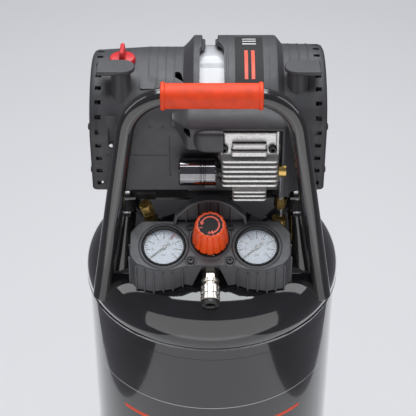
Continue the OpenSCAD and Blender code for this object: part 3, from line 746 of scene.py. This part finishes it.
def make_left_shroud():
    end = LEFT_LOW.x
    cap_r = CAP_R["left"]
    stations = [(end, cap_r, cap_r - WALL), (-75, DRUM_R, 84), (-36, DRUM_R, 84), (-33.6, 88.6, 84),
                (-28, 94, 84), (-21.5, 101.6, 88), (-20, 102, 90), (-12.4, 102, 96), (-11.6, 101.2, 96),
                (-11.5, 97.5, 93.5), (-8.6, 97, 93.5), (-8, 96.2, 93.5)]
    shell = solid("shroud_left_shell", wall_loft(stations), MOTOR)
    tear = [(0, -9)] + arc(0, 4, 4.6, -15, 195, 14)
    wall_slot = rounded([(-3.6, -19), (3.6, -19), (3.6, 19), (-3.6, 19)], 3.5)
    cut(shell, moved(prism(wall_slot, -6, 6), shift(-117.5, FRONT_Y, 28) @ QUARTER_X), MOTOR)
    cut(shell, block((-50.2, -48.8), (FRONT_Y - 2, FRONT_Y + 1.4), (-29, 27)), MOTOR)
    cut(shell, block((-124, -51), (FRONT_Y - 2, FRONT_Y + 0.5), (0, 0.9)), MOTOR)
    lean = shift(-38, -38, 82) @ spin(math.radians(25), "X") @ spin(math.radians(35))
    cut(shell, moved(prism(tear, -12, 10), lean), MOTOR)
    for x in (-71.5, -57.7, -43):
        cut(shell, block((x - 0.8, x + 0.8), (FRONT_Y - 3, FRONT_Y + 4), (37, 48)), MOTOR)
    for slot in rim_slots(end, cap_r):
        cut(shell, slot, MOTOR)
    cut(shell, gap_notch(), MOTOR)
    dress(shell, SHROUD, "dark_grey_plastic", replaces=["shroud_left"], smooth=28)
    ribs = [skin_rib(x, 87.4, 62, 122) for x in (-74, -64, -54, -44)]
    ribs.append(skin_rib(-100, 86.2, 60, 100, 1.0, 0.7))
    latch = [(-84, -8), (-66, -8), (-66, 8), (-84, 8)]
    frame_line = prism(rounded(latch, 3), 84, 88.6)
    ribs.append(moved(frame_line, shift(0, -1, 0) @ spin(math.radians(30), "X")))
    part("shroud_left_ribs", joined(ribs), MOTOR, SHROUD, "dark_grey_plastic", bevel=0.3)
    slot_screw = lathe([(0, 0), (3, 0), (3, 1.6), (2.4, 2.2), (0, 2.2)], 24)
    part("shroud_left_screw", moved(slot_screw, shift(-118.2, FRONT_Y + 4, 12) @ QUARTER_X), MOTOR,
         ZINC, "zinc_steel")


def gap_notch():
    """The gap between the shroud halves, narrow over the top and wide on the side that faces forward."""
    rings = []
    for degrees, half in ((80, 5), (83, 6), (94, 14.5), (138, 14.5)):
        y, z = math.cos(math.radians(degrees)), math.sin(math.radians(degrees))
        rings.append([(x, y * r, z * r) for x, r in ((-half, 84), (-half, 116), (half, 116), (half, 84))])
    return loft(rings)


def make_right_shroud():
    side_r = 91.8
    stations = [(4.2, 96.2, 93.5), (4.8, 97, 93.5), (6.9, 97.4, 93.5), (7.0, 100.8, 96), (7.8, 102, 97),
                (75, 102, 97), (77, 101.2, 95), (84, 92.4, 88), (86, side_r, 88),
                (RIGHT_END, side_r - 0.6, 88)]
    shell = solid("shroud_right_shell", wall_loft(stations), MOTOR)
    for slot in rim_slots(RIGHT_END, side_r - 0.6):
        cut(shell, slot, MOTOR)
    cut(shell, gap_notch(), MOTOR)
    low, high = mm_box("cylinder_barrel", MOTOR)
    bore = disc((high.x - low.x) / 2 + 0.5, FRONT_Y - 6, FRONT_Y + 16, 64)
    cut(shell, moved(bore, shift((low.x + high.x) / 2, 0, (low.z + high.z) / 2) @ ALONG_Y), MOTOR)
    dress(shell, SHROUD, "dark_grey_plastic", replaces=["shroud_right"], smooth=28)
    ribs = [skin_rib(x, 91.2, 60, 128) for x in (92, 103, 114)]
    ribs.append(skin_rib(67, 101.4, 60, 128, 1.2, 0.8))
    ribs.append(skin_rib(18, 101.4, 60, 131, 2.6, 0.9))
    part("shroud_right_ribs", joined(ribs), MOTOR, SHROUD, "dark_grey_plastic", bevel=0.3)
    part("drum_label", drum_patch((27, 60), (101.5, 102.35), 76, 132, 40), MOTOR, LABEL_BLACK,
         "black_satin_paint")
    rows = [drum_patch((36, 52), INK_RADII, start, start + 1.6, 4) for start in (80, 84, 88)]
    part("label_rows", joined(rows), MOTOR, PALE_INK, "dial_white")
    bars = [drum_patch(sides, INK_RADII, 97, 122, 24) for sides in ((38, 42), (46, 50))]
    part("label_bars", joined(bars), MOTOR, ORANGE_INK, "orange_plastic")


def make_end_cap(name, x, side, radius):
    """A cap with an eased edge, slots round its rim and radial air slots in its face."""
    rings = []
    for step, ease in ((0, 0), (4, 0), (8, 1.5), (10, 5)):
        rings.append([(x + side * step, y, z) for y, z in skin_line(radius - ease, ease)])
    cap = solid(name + "_disc", loft(rings), MOTOR)
    for slot in rim_slots(x, radius):
        cut(cap, slot, MOTOR)
    vents = []
    for i in range(20):
        angle = 2 * math.pi * i / 20
        slot = prism(rounded([(-2, 30), (2, 30), (3, 62), (-3, 62)], 1.9), -5, 5)
        vents.append(moved(slot, shift(x + side * 10, 0, 0) @ ALONG_X @ spin(angle)))
    ring = [v for v in vents if min(p[2] for p in v[0]) > BASE_Z + 4]
    cut(cap, joined(ring), MOTOR)
    dress(cap, CAP_PLASTIC, "dark_grey_plastic", replaces=[name], smooth=28)
    bolts = []
    head = lathe([(0, 0), (4, 0), (4, 2.4), (3.2, 3), (1.6, 3), (1.6, 1.4), (0, 1.4)], 24)
    for y, z in ((-66, 30), (-66, -30), (60, -30), (58, 40)):
        turn = ALONG_X if side > 0 else ALONG_X @ spin(math.pi, "X")
        bolts.append(moved(head, shift(x + side * 9, y, z) @ turn))
    part(name + "_screws", joined(bolts), MOTOR, OXIDE_STEEL, "dark_steel")


# ---- Cowl over the cylinder head ----
COWL_FRONT = -18
OPEN_X = (7, 82)
OPEN_TOP = 44.5
COWL_EASE = 20


def smoothed(t):
    return t * t * (3 - 2 * t)


def cowl_ring(x, swell, under):
    """One section of the cowl: swell is how far it stands out, from 0 to 1, and under is its lower edge."""
    out = FRONT_Y + COWL_FRONT * swell
    return [(x, y, z) for y, z in (
        (FRONT_Y + 3, under), (out + 3, under), (out + 0.6, under + 0.2), (out, under + 0.9),
        (out, 46), (out + 0.6, 47.8), (out + 2.4, 49.4),
        (FRONT_Y + BEVEL_Y - 1, 51 + 16 * swell), (FRONT_Y + BEVEL_Y + 3, 52.5 + 16 * swell),
        (FRONT_Y + BEVEL_Y + 9, 52 + 16 * swell), (FRONT_Y + BEVEL_Y + 9, 44), (FRONT_Y + 3, max(under, 40)))]


def make_cowl():
    """The hump over the head, open in front of it, with the duct's nose and the walls inside the opening."""
    steps = 16
    rings = []
    for i in range(steps + 1):
        swell = smoothed(i / steps)
        rings.append(cowl_ring(-46 + COWL_EASE * i / steps, swell, 40 - 21 * swell))
    rings.append(cowl_ring(OPEN_X[0], 1, 19))
    rings.append(cowl_ring(OPEN_X[0] + 0.1, 1, OPEN_TOP))
    rings.append(cowl_ring(OPEN_X[1] - 0.1, 1, OPEN_TOP))
    for i in range(steps + 1):
        rings.append(cowl_ring(OPEN_X[1] + COWL_EASE * i / steps, smoothed(1 - i / steps), BASE_Z))
    hood = solid("cowl_hood", loft(rings), MOTOR)
    drop = [(0, -7)] + arc(0, 2, 3.8, -20, 200, 14)
    cut(hood, moved(prism(drop, -14, 14), shift(-28, FRONT_Y - 10, 42) @ QUARTER_X @ spin(0.5)), MOTOR)
    dress(hood, SHROUD, "dark_grey_plastic")
    rings = []
    for i in range(15):
        t = i / 14
        round_in = 1 - math.sqrt(max(0.0, 1 - (1 - min(1, t * 2.2)) ** 2))
        half = 13.5 - 8 * round_in
        depth = 9.5 - 9.4 * round_in
        x = -21 + 34 * t
        outline = rounded([(-half, 3), (-half, -depth), (half, -depth), (half, 3)], 6)
        rings.append([(x, FRONT_Y + COWL_FRONT + y, 33 + z) for z, y in outline])
    part("duct_nose", loft(rings), MOTOR, SHROUD, "dark_grey_plastic")
    behind = FRONT_Y + COWL_FRONT + 1
    backing = [block((-33, OPEN_X[0]), (FRONT_Y + 0.5, FRONT_Y + 3), (BASE_Z + 6, 30)),
               block((OPEN_X[1] - 0.5, OPEN_X[1] + 2), (behind, FRONT_Y + 20), (BASE_Z, OPEN_TOP + 1)),
               block((-124, -111), (FRONT_Y + 5, FRONT_Y + 6), (0, 50)),
               block((OPEN_X[0] - 2, OPEN_X[0]), (behind, FRONT_Y + 10), (22, OPEN_TOP + 1))]
    part("cowl_walls", joined(backing), MOTOR, SHROUD, "dark_grey_plastic", bevel=0.3)


# ---- Cord hooks and switch ----
def make_hook(name, post, plate, round_side):
    """A cord hook: a flared post, and a plate with one round end and soft edges."""
    low, high = plate
    front, back = -39, -9
    top = 969
    thick = 5.5
    half = (back - front) / 2
    middle_y = (front + back) / 2
    if round_side > 0:
        outline = [(low, front), (high - half, front)] + arc(high - half, middle_y, half, -90, 90, 20)
        outline += [(high - half, back), (low, back)]
    else:
        outline = [(high, back), (low + half, back)] + arc(low + half, middle_y, half, 90, 270, 20)
        outline += [(low + half, front), (high, front)]
    outline = [p for i, p in enumerate(outline) if math.dist(p, outline[i - 1]) > 0.01]
    part(name + "_plate", prism(outline, top - thick, top), TANK, SHROUD, "dark_grey_plastic", bevel=1.6)
    x, y, radius = post
    stem = [(0, 900), (radius + 6, 900), (radius + 5, 928), (radius + 1.4, 936), (radius, 946),
            (radius, top - thick + 0.5), (0, top - thick + 0.5)]
    part(name + "_post", moved(lathe(stem, 48), shift(x, y, 0)), TANK, SHROUD,
         "dark_grey_plastic", smooth=50)


def make_switch():
    pivot = TANK.inverted() @ Vector(JOINTS["switch_turn"]["pos_m"])
    place = TANK @ Matrix.Translation(pivot)
    base = lathe([(0, 0.2), (14.6, 0.2), (15.4, 1), (15.4, 4.6), (14.2, 6.4), (12, 7), (0, 7)], 64)
    part("switch_disc", base, place, RED_PLASTIC, "red_plastic", replaces=["switch_knob"],
         body="switch", smooth=40)
    waist = []
    for z, length, wide in ((5, 14, 4.2), (9, 13.6, 3.6), (17, 13, 2.6), (18, 12.4, 2.0)):
        outline = rounded([(-wide, -length), (wide, -length), (wide, length), (-wide, length)], 1.8, 4)
        waist.append([(x, y, z) for x, y in outline])
    part("switch_bar", loft(waist), place, RED_PLASTIC, "red_plastic", body="switch", smooth=40)


# ---- Cylinder head and filter ----
def slab(width, front, back, bottom, top, corner=3.0):
    outline = rounded([(width[0], back), (width[0], front), (width[1], front), (width[1], back)], corner, 4)
    return prism(outline, bottom, top)


def make_head():
    low, high = mm_box("cylinder_head")
    left, front = low.x, low.y
    right, back = high.x, high.y
    block_front = back - 14
    pieces = [slab((left, right), block_front, back, 840, high.z, 2),
              slab((left + 3, right - 3), block_front - 5, back - 4, 884, high.z, 3),
              slab((30, 58), block_front, back - 4, 823, 842, 2)]
    for i in range(6):
        fin = 877.4 - i * 6.6
        pieces.append(slab((left + 1, right - 1), front, back - 10, fin, fin + 3, 5))
    for i in range(3):
        fin = 823.6 + i * 5.5
        pieces.append(slab((24, 64), front + 1, back - 6, fin, fin + 2.6, 4))
    for i in range(2):
        fin = 889 + i * 9
        pieces.append(slab((22 + i, 64 - i), front + i * 2, block_front, fin, fin + 3, 4))
        pieces.append(slab((22 + i, 64 - i), front + 4 + i, block_front, fin - 5, fin + 3, 3))
    head = solid("head_casting", joined(pieces))
    dress(head, CASTING, "cast_aluminium", replaces=["cylinder_head"], bevel=0.55, smooth=40)
    screws = []
    socket = [(0, 0), (4.9, 0), (5, 0.6), (5, 4), (4.3, 5), (2.4, 5), (2.4, 2), (0, 2)]
    for x, z in ((14, 893), (70, 893), (14, 846), (70, 846)):
        face = block_front - 5 if z > 880 else block_front
        screws.append(moved(lathe(socket, 32), shift(x, face, z) @ QUARTER_X))
    part("head_bolts", joined(screws), TANK, OXIDE_STEEL, "dark_steel", replaces=["head_screws"], smooth=30)


def make_filter():
    low, high = mm_box("intake_filter")
    radius = (high.z - low.z) / 2
    axis = shift(0, (low.y + high.y) / 2, (low.z + high.z) / 2) @ ALONG_X
    length = 44
    outline = [(0, 0), (radius - 4, 0), (radius - 1.6, 0.6), (radius - 0.3, 2.2), (radius - 0.3, 25),
               (radius - 1, 25.6), (radius - 1, 26.4), (radius, 27), (radius, 29.4), (radius - 1, 30),
               (radius - 1, 31), (radius - 0.3, 31.6), (radius - 0.3, length - 1.2), (radius - 2, length),
               (0, length)]
    can = moved(lathe(outline, 96), shift(low.x, 0, 0) @ axis)
    part("filter_can", can, TANK, CHROME, "chrome", replaces=["intake_filter"], smooth=25)
    stub = lathe([(0, 0), (9, 0), (9, 2), (8, 3), (8, 5.8), (0, 5.8)], 48)
    neck = moved(stub, shift(low.x + length - 0.2, 0, 0) @ axis)
    part("filter_neck", neck, TANK, BLACK_PLASTIC, "black_plastic")


# ---- Panel ----
RIGHT_FACE = [(83, 34), (96, 19), (96, -12), (88, -23), (68, -31), (44, -31), (30, -26), (10, -25), (5, -25)]
FACE = [(-83, 34)] + RIGHT_FACE + [(-x, y) for x, y in reversed(RIGHT_FACE[1:])]
PANEL_SCREWS = [(-23.5, 25.1), (23.5, 25.1), (-23.2, -19.4), (23.2, -19.4)]
HOOD_Z = 774
KNOB_Y = 9.5
SKIRT_DEEP = 56
SKIRT_FLARE = 11


def dome_solid(grow):
    curve = end_curve(grow)
    outline = [(0, -SKIRT * 3), (END_R + grow, -SKIRT * 3)] + curve
    return moved(lathe(outline, 128), shift(0, 0, TANGENT_Z))


def skirt_point(x, y, deep):
    """A face corner carried down the skirt, which flares out as it falls away from the face."""
    share = deep / SKIRT_DEEP
    flare = SKIRT_FLARE * share
    if y < -20 and 9 < abs(x) < 11:
        x += math.copysign(18 * share, x)
        y -= 5 * share
    elif y < -20 and abs(x) < 6:
        x += math.copysign(10 * share, x)
        y += 34 * share
    return (x * (1 + 0.015 * share), y - (flare if y < 0 else -flare * 0.2), -deep)


def make_panel():
    smooth_face = rounded(FACE, 5, 4)
    plate = solid("panel_face", prism(smooth_face, -4, 0), PANEL)
    for x in (-GAUGE_X, GAUGE_X):
        cut(plate, moved(disc(26.2, -8, 4), shift(x, 0, 0)), PANEL)
    cut(plate, moved(disc(23.4, -8, 4), shift(0, KNOB_Y, 0)), PANEL)
    dress(plate, PANEL_PLASTIC, "dark_grey_plastic", replaces=["panel"], bevel=1.5, smooth=45)

    lip = [(26.2, -3), (26.2, 0.8), (27, 1.5), (29, 1.5), (31, -0.4), (31, -3)]
    rings = [moved(lathe(lip, 96), shift(x, 0, 0)) for x in (-GAUGE_X, GAUGE_X)]
    well = [(19.2, -7), (19.2, -5), (22, -5), (23, 0.6), (24, 1.3), (25.4, 1.3), (27, -0.4), (27, -7)]
    rings.append(moved(lathe(well, 96), shift(0, KNOB_Y, 0)))
    boss = [(4.6, -2), (4.6, 0.6), (5.2, 1), (6.4, 1), (7.2, -0.2), (7.2, -2)]
    rings.extend(moved(lathe(boss, 48), shift(x, y, 0)) for x, y in PANEL_SCREWS)
    part("panel_rings", joined(rings), PANEL, PANEL_PLASTIC, "dark_grey_plastic", smooth=50)


def make_skirt():
    """The panel's hollow skirt, open behind and trimmed to stand just clear of the tank's end."""
    steps = 8
    inset = 3.2
    inner_face = [(x * (1 - inset / 96), y * (1 - inset / 31)) for x, y in FACE]
    rings = []
    for outline, start, way in ((FACE, 0.8, SKIRT_DEEP - 0.8), (inner_face, SKIRT_DEEP + 1, 3 - SKIRT_DEEP)):
        for i in range(steps + 1):
            rings.append([skirt_point(x, y, start + way * i / steps) for x, y in outline])
    skirt = solid("panel_skirt", loft(rings, loop=True), PANEL)
    cut(skirt, block((-110, 110), (30, 80), (-80, -6)), PANEL)
    cut(skirt, dome_solid(2.2))
    dress(skirt, PANEL_PLASTIC, "dark_grey_plastic", smooth=20)


def rib_direction(x):
    """Which way a rib stands out from the skirt: sideways, forward, or between the two at the corners."""
    if abs(x) > 90:
        return Vector((math.copysign(1, x), -0.1, 0))
    if abs(x) < 70:
        return Vector((0, -1, 0))
    return Vector((math.copysign(0.37, x), -0.93, 0))


def make_skirt_ribs():
    """Thin upright ribs on the skirt, which run on past its lower edge as small teeth."""
    ribs = []
    spots = [(s * x, -31 if x > 44 else -31 + (44 - x) * 0.36) for s in (-1, 1) for x in (33, 44.5, 56, 67.5)]
    spots += [(s * x, y) for s in (-1, 1) for x, y in ((78, -27), (88, -23), (96, -11), (96, 4))]
    for x, y in spots:
        out = rib_direction(x)
        along = Vector((-out.y, out.x, 0))
        rings = []
        for deep in (5, SKIRT_DEEP * 0.5, SKIRT_DEEP):
            base = Vector(skirt_point(x, y, deep))
            corners = ((-2.5, 1.7), (1.7, 0.8), (1.7, -0.8), (-2.5, -1.7))
            rings.append([base + out * lean + along * wide for lean, wide in corners])
        ribs.append(loft(rings))
    teeth = solid("panel_ribs", joined(ribs), PANEL)
    cut(teeth, dome_solid(0.6))
    dress(teeth, PANEL_PLASTIC, "dark_grey_plastic", bevel=0.25, smooth=40)


def make_hood():
    """The arch behind the knob: a back wall, a rim that stands forward, and five ribs."""
    left_foot = [(-44.5, 4), (-44.5, 8), (-41.8, 21)]
    crest = left_foot + arc(0, 0, 45, 124, 56, 16) + [(-x, z) for x, z in reversed(left_foot)]
    inner = [(x * 0.935, z * 0.935) for x, z in crest]
    inner[0] = (inner[0][0], 4)
    inner[-1] = (inner[-1][0], 4)
    middle_x = (TANK.inverted() @ PANEL.to_translation()).x
    place = TANK @ shift(middle_x, 0, HOOD_Z)
    shapes = [loft([[(x, y, z) for x, z in crest] for y in (-72.6, -68.6)])]
    band = crest + inner[::-1]
    shapes.append(loft([[(x, y, z) for x, z in band] for y in (-80.6, -71)]))
    for x in (-29, -15.5, -2, 11.5, 25):
        height = math.sqrt(42**2 - x**2) + 1
        shapes.append(block((x - 0.8, x + 0.8), (-76.6, -71), (4, height)))
    part("panel_hood", joined(shapes), place, PANEL_PLASTIC, "dark_grey_plastic", bevel=0.4, smooth=40)


def make_panel_screws():
    socket = [(0, 0), (3.9, 0), (4, 0.5), (4, 1.9), (3.4, 2.5), (1.9, 2.5), (1.9, 0.6), (0, 0.6)]
    screws = [moved(lathe(socket, 32), shift(x, y, 0.05)) for x, y in PANEL_SCREWS]
    part("panel_bolts", joined(screws), PANEL, OXIDE_STEEL, "dark_steel", replaces=["panel_screws"])


# ---- Gauges ----
DIAL_TOP = -3.9
NEEDLE_ZERO = 220
DEGREES_PER_BAR = 16.25
FULL_SCALE = 16
FIGURE_R = 13.6


def dial_angle(bar):
    return math.radians(NEEDLE_ZERO - DEGREES_PER_BAR * bar)


def tick(bar, start, end, width, z):
    angle = dial_angle(bar)
    outline = [(start, -width / 2), (end, -width / 2), (end, width / 2), (start, width / 2)]
    return moved(prism(outline, z, z + 0.15), spin(angle))


def lettering(text, size, x, y, z):
    """Raised figures on the dial, made from the program's own plain font."""
    curve = bpy.data.curves.new("figures", "FONT")
    curve.body = text
    curve.size = size
    curve.align_x = "CENTER"
    curve.align_y = "CENTER"
    curve.extrude = 0.08
    curve.resolution_u = 3
    thing = bpy.data.objects.new("figures", curve)
    bpy.context.scene.collection.objects.link(thing)
    bpy.context.view_layer.update()
    mesh = bpy.data.meshes.new_from_object(thing.evaluated_get(bpy.context.evaluated_depsgraph_get()))
    points = [tuple(shift(x, y, z) @ v.co) for v in mesh.vertices]
    faces = [tuple(p.vertices) for p in mesh.polygons]
    bpy.data.objects.remove(thing)
    bpy.data.meshes.remove(mesh)
    return points, faces


def make_gauge(name, centre_x, red_line):
    bezel = [(23.6, -13), (25.9, -13), (25.9, 1.4), (25.2, 2.4), (24.4, 2.6), (23.9, 2.2), (23.7, 1.3),
             (23.6, 1.2)]
    back = [(0, -18), (22, -18), (25.9, -13), (23.6, -13), (0, -13.5)]
    case = joined([lathe(bezel, 96), lathe(back, 96)])
    part(name + "_case", moved(case, shift(centre_x, 0, 0)), PANEL, BLACK_PLASTIC, "black_plastic",
         replaces=["gauge_cases"], smooth=40)
    face = disc(23.7, DIAL_TOP - 0.8, DIAL_TOP)
    part(name + "_dial", moved(face, shift(centre_x, 0, 0)), PANEL, DIAL_WHITE, "dial_white",
         replaces=["gauge_dials"])
    marks = []
    for half_bar in range(FULL_SCALE * 2 + 1):
        bar = half_bar / 2
        whole = half_bar % 4 == 0
        start = 16.5 if whole else 18.6 if half_bar % 2 == 0 else 20
        marks.append(tick(bar, start, 22.2, 0.75 if whole else 0.4, DIAL_TOP - 0.02))
    marks = [moved(mark, shift(centre_x, 0, 0)) for mark in marks]
    for bar in range(0, FULL_SCALE + 1, 2):
        angle = dial_angle(bar)
        x = centre_x + FIGURE_R * math.cos(angle)
        marks.append(lettering(str(bar), 4.6, x, FIGURE_R * math.sin(angle), DIAL_TOP))
    marks.append(lettering("bar", 4.2, centre_x, -9.5, DIAL_TOP))
    part(name + "_figures", joined(marks), PANEL, DIAL_BLACK, "needle_black")
    if red_line:
        red = moved(tick(10.3, 15.5, 22.4, 0.9, DIAL_TOP + 0.02), shift(centre_x, 0, 0))
        part(name + "_red_line", red, PANEL, DIAL_RED, "red_plastic")
    pin = lathe([(0, 1.1), (1.6, 1.1), (1.9, 1.5), (1.5, 2.1), (0, 2.3)], 32)
    part(name + "_pin", moved(pin, shift(centre_x, 0, DIAL_TOP - 0.3)), PANEL, NICKEL, "nickel")


# ---- Regulator knob ----
def make_knob():
    bottom, top = 2, 39
    wide, narrow = 22, 17.2
    outline = [(8.3, bottom), (wide - 0.6, bottom), (wide, bottom + 0.8), (wide - 0.4, bottom + 4),
               (narrow + 1.2, top - 4.5), (narrow + 0.5, top - 1.2), (narrow - 0.8, top), (14.6, top),
               (14.4, top - 1.4), (0, top - 1.4), (0, top - 12), (8.3, top - 12)]
    place = PANEL @ shift(0, KNOB_Y, 0)
    part("fluted_knob", fluted(outline, 14, 1.5), place, ORANGE_PLASTIC, "orange_plastic",
         replaces=["regulator_knob"], body="knob", smooth=50)
    part("knob_disc", disc(14.3, top - 1.5, top - 0.5), place, LABEL_BLACK, "black_plastic", body="knob")
    height = (top - 0.52, top - 0.3)
    marks = []
    for start, end in ((25, 160), (20, -70)):
        band = arc(0, 0, 11.4, start, end, 24) + arc(0, 0, 9.6, end, start, 24)
        marks.append(prism(band, *height))
        tip = end + math.copysign(22, end - start)
        head = []
        for radius, degrees in ((7.6, end), (13.2, end), (10.5, tip)):
            angle = math.radians(degrees)
            head.append((radius * math.cos(angle), radius * math.sin(angle)))
        marks.append(prism(head, *height))
    marks.append(moved(block((-1.8, 1.8), (-0.45, 0.45), height), shift(-11, -3.6, 0)))
    marks.append(moved(block((-2, 2), (-0.5, 0.5), height), shift(-1, -10.5, 0)))
    marks.append(moved(block((-0.5, 0.5), (-2, 2), height), shift(-1, -10.5, 0)))
    part("knob_arrows", joined(marks), place, ORANGE_INK, "orange_plastic", body="knob")


# ---- Coupler ----
def make_coupler():
    flange = lathe([(4, 0), (10.3, 0), (10.6, 0.4), (10.6, 3.4), (10, 4), (4, 4)], 64)
    barrel = lathe([(5.3, 16), (9, 16), (9, 18.6), (10.8, 19), (11, 19.4), (11, 22.2), (10.6, 22.7),
                    (9, 22.9), (9, 46), (5.3, 46)], 96)
    part("coupler_nut", joined([flange, hexagon(9.8, 4, 20)]), COUPLER, NICKEL, "nickel", bevel=0.35)
    part("coupler_barrel", barrel, COUPLER, NICKEL, "nickel", replaces=["coupler_body"], smooth=25)
    low = 27.2
    sleeve = [(9.06, low), (11, low), (11.5, low + 0.5), (11.5, low + 3), (10.9, low + 3.5), (10.9, low + 5),
              (11.7, low + 5.6), (11.7, low + 10), (10.6, low + 10.6), (10.6, low + 13.4), (11.6, low + 14),
              (11.6, low + 17.8), (11, low + 18.5), (9.06, low + 18.5)]
    part("coupler_ring", fluted(sleeve, 60, 0.25), COUPLER, NICKEL, "nickel", replaces=["coupler_sleeve"],
         body="sleeve", smooth=35)
    nose = [(5.6, 46.1), (10.2, 46.1), (10.8, 46.8), (10.8, 50), (9.4, 51.6), (7, 51.7), (5.6, 50.2)]
    part("coupler_mouth", lathe(nose, 96), COUPLER, BLACK_PLASTIC, "black_plastic",
         replaces=["coupler_nose"], smooth=40)


# ---- Safety valve and rubber mounts ----
def valve_place():
    """The safety valve's own axis, along its joint and through the middle of its cap."""
    axis = Vector(JOINTS["safety_lift"]["axis"]).normalized()
    cap_low, cap_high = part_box("safety_cap")
    centre = (cap_low + cap_high) / 2
    turn = axis.to_track_quat("Z", "Y").to_matrix().to_4x4()
    return Matrix.Translation(centre) @ turn @ TO_METRES


def make_safety_valve():
    place = valve_place()
    half = 7
    cap = [(1.7, half), (7, half), (7.8, half - 0.7), (8, half - 1.8), (8, -half + 0.4), (7.7, -half),
           (0, -half), (0, half - 4), (1.7, half - 4)]
    part("relief_cap_brass", lathe(cap, 64), place, BRASS, "brass", replaces=["safety_cap"],
         body="relief_cap", smooth=35)
    base = -half - 0.4
    body = [(0, base - 54.8), (7.7, base - 54.8), (7.7, base - 0.3), (7.4, base), (0, base)]
    part("relief_body", lathe(body, 64), place, BRASS, "brass", replaces=["safety_valve"], smooth=35)
    part("relief_nut", hexagon(10, base - 51, base - 41), place, BRASS, "brass", bevel=0.4)


def make_mounts():
    """Waisted rubber mounts with steel end washers."""
    low, high = mm_box("vibration_mounts")
    height = high.z - low.z
    radius = 11
    bore = 4.2
    washer = 1.2
    steps = 12
    waist = [(bore, washer)]
    for i in range(steps + 1):
        hollow = 1.6 * math.sin(math.pi * i / steps)
        waist.append((radius - 0.1 - hollow, washer + (height - 2 * washer) * i / steps))
    waist.append((bore, height - washer))
    rubbers = []
    washers = []
    for x in (low.x + radius, high.x - radius):
        for y in (low.y + radius, high.y - radius):
            rubbers.append(moved(lathe(waist, 48), shift(x, y, low.z)))
            for z in (0.0, height - washer):
                ring = [(bore, z), (10.8, z), (10.8, z + washer), (bore, z + washer)]
                washers.append(moved(lathe(ring, 48), shift(x, y, low.z)))
    part("mount_rubbers", joined(rubbers), TANK, BLACK_RUBBER, "black_rubber",
         replaces=["vibration_mounts"])
    part("mount_washers", joined(washers), TANK, ZINC, "zinc_steel")


# ---- Stage ----
def area_light(name, place, aim, size, power, colour=(1, 1, 1)):
    data = bpy.data.lights.new(name, "AREA")
    data.shape = "RECTANGLE"
    data.size, data.size_y = size
    data.energy = power
    data.color = colour
    lamp = bpy.data.objects.new(name, data)
    lamp.location = place
    lamp.rotation_euler = (Vector(aim) - Vector(place)).to_track_quat("-Z", "Y").to_euler()
    lamp.visible_camera = False
    bpy.context.scene.collection.objects.link(lamp)


def make_stage():
    """A plain pale floor, a world that is pale to the camera and dim to the object, and soft lights."""
    side, near, far = 0.66, -1.5, 2.4
    floor_mesh = bpy.data.meshes.new("floor")
    corners = [(-side, near, 0), (side, near, 0), (side, far, 0), (-side, far, 0)]
    floor_mesh.from_pydata(corners, [], [(0, 1, 2, 3)])
    floor = bpy.data.objects.new("floor", floor_mesh)
    bpy.context.scene.collection.objects.link(floor)
    material, tree, shader = principled("floor_paper", (0.76, 0.76, 0.77), 0.85)
    bump(tree, shader, noise(tree, 2.0), 0.05, 0.2)
    floor_mesh.materials.append(material)

    world = bpy.data.worlds.new("studio")
    bpy.context.scene.world = world
    world.use_nodes = True
    tree = world.node_tree
    seen = tree.nodes.new("ShaderNodeBackground")
    seen.inputs["Color"].default_value = (0.70, 0.70, 0.72, 1)
    unseen = tree.nodes["Background"]
    unseen.inputs["Color"].default_value = (0.16, 0.16, 0.18, 1)
    path = tree.nodes.new("ShaderNodeLightPath")
    both = tree.nodes.new("ShaderNodeMixShader")
    tree.links.new(path.outputs["Is Camera Ray"], both.inputs["Fac"])
    tree.links.new(unseen.outputs["Background"], both.inputs[1])
    tree.links.new(seen.outputs["Background"], both.inputs[2])
    tree.links.new(both.outputs["Shader"], tree.nodes["World Output"].inputs["Surface"])

    area_light("overhead", (0.0, 0.2, 2.9), (0, 0.2, 0.6), (1.9, 1.5), 48, (0.95, 0.98, 1.0))
    area_light("back_overhead", (0.0, 2.1, 2.9), (0, 1.7, 0), (2.4, 1.2), 32, (0.97, 0.98, 1.0))
    area_light("front_card", (0.0, -1.05, 0.55), (0, 0, 0.55), (2.8, 1.1), 11, (1.0, 0.98, 0.97))
    area_light("left_card", (-1.5, -0.1, 1.7), (0, 0, 0.9), (0.4, 1.2), 3)
    area_light("right_card", (1.5, -0.1, 1.7), (0, 0, 0.9), (0.4, 1.2), 3)
    bpy.context.scene.view_settings.view_transform = "Standard"


def make_camera():
    """The view from in front and above, with a long lens."""
    data = bpy.data.cameras.new("camera")
    data.lens = 109.3
    data.sensor_width = 36
    data.shift_x = -0.0094
    camera = bpy.data.objects.new("camera", data)
    distance = 1.3034
    height = 1.0166
    look_down = 35.65
    camera.location = (0, AXIS.y - distance, TANGENT_Z * MM + height)
    camera.rotation_euler = (math.radians(90 - look_down), 0, 0)
    bpy.context.scene.collection.objects.link(camera)
    bpy.context.scene.camera = camera


make_camera()
make_stage()
finish_kept_nodes()
make_tank()
make_tyres()
make_handle()
make_left_shroud()
make_right_shroud()
make_end_cap("end_cap_left", LEFT_LOW.x - 0.1, -1, CAP_R["left"])
make_end_cap("end_cap_right", 124.1, 1, CAP_R["right"])
make_cowl()
make_hook("hook_left", (-105.6, -24, 11.5), (-133, -89), 1)
make_hook("hook_right", (99.9, -24, 12.5), (83.8, 125.7), -1)
make_switch()
make_head()
make_filter()
make_panel()
make_skirt()
make_skirt_ribs()
make_hood()
make_panel_screws()
make_gauge("tank_gauge", -GAUGE_X, True)
make_gauge("outlet_gauge", GAUGE_X, False)
make_knob()
make_coupler()
make_safety_valve()
make_mounts()
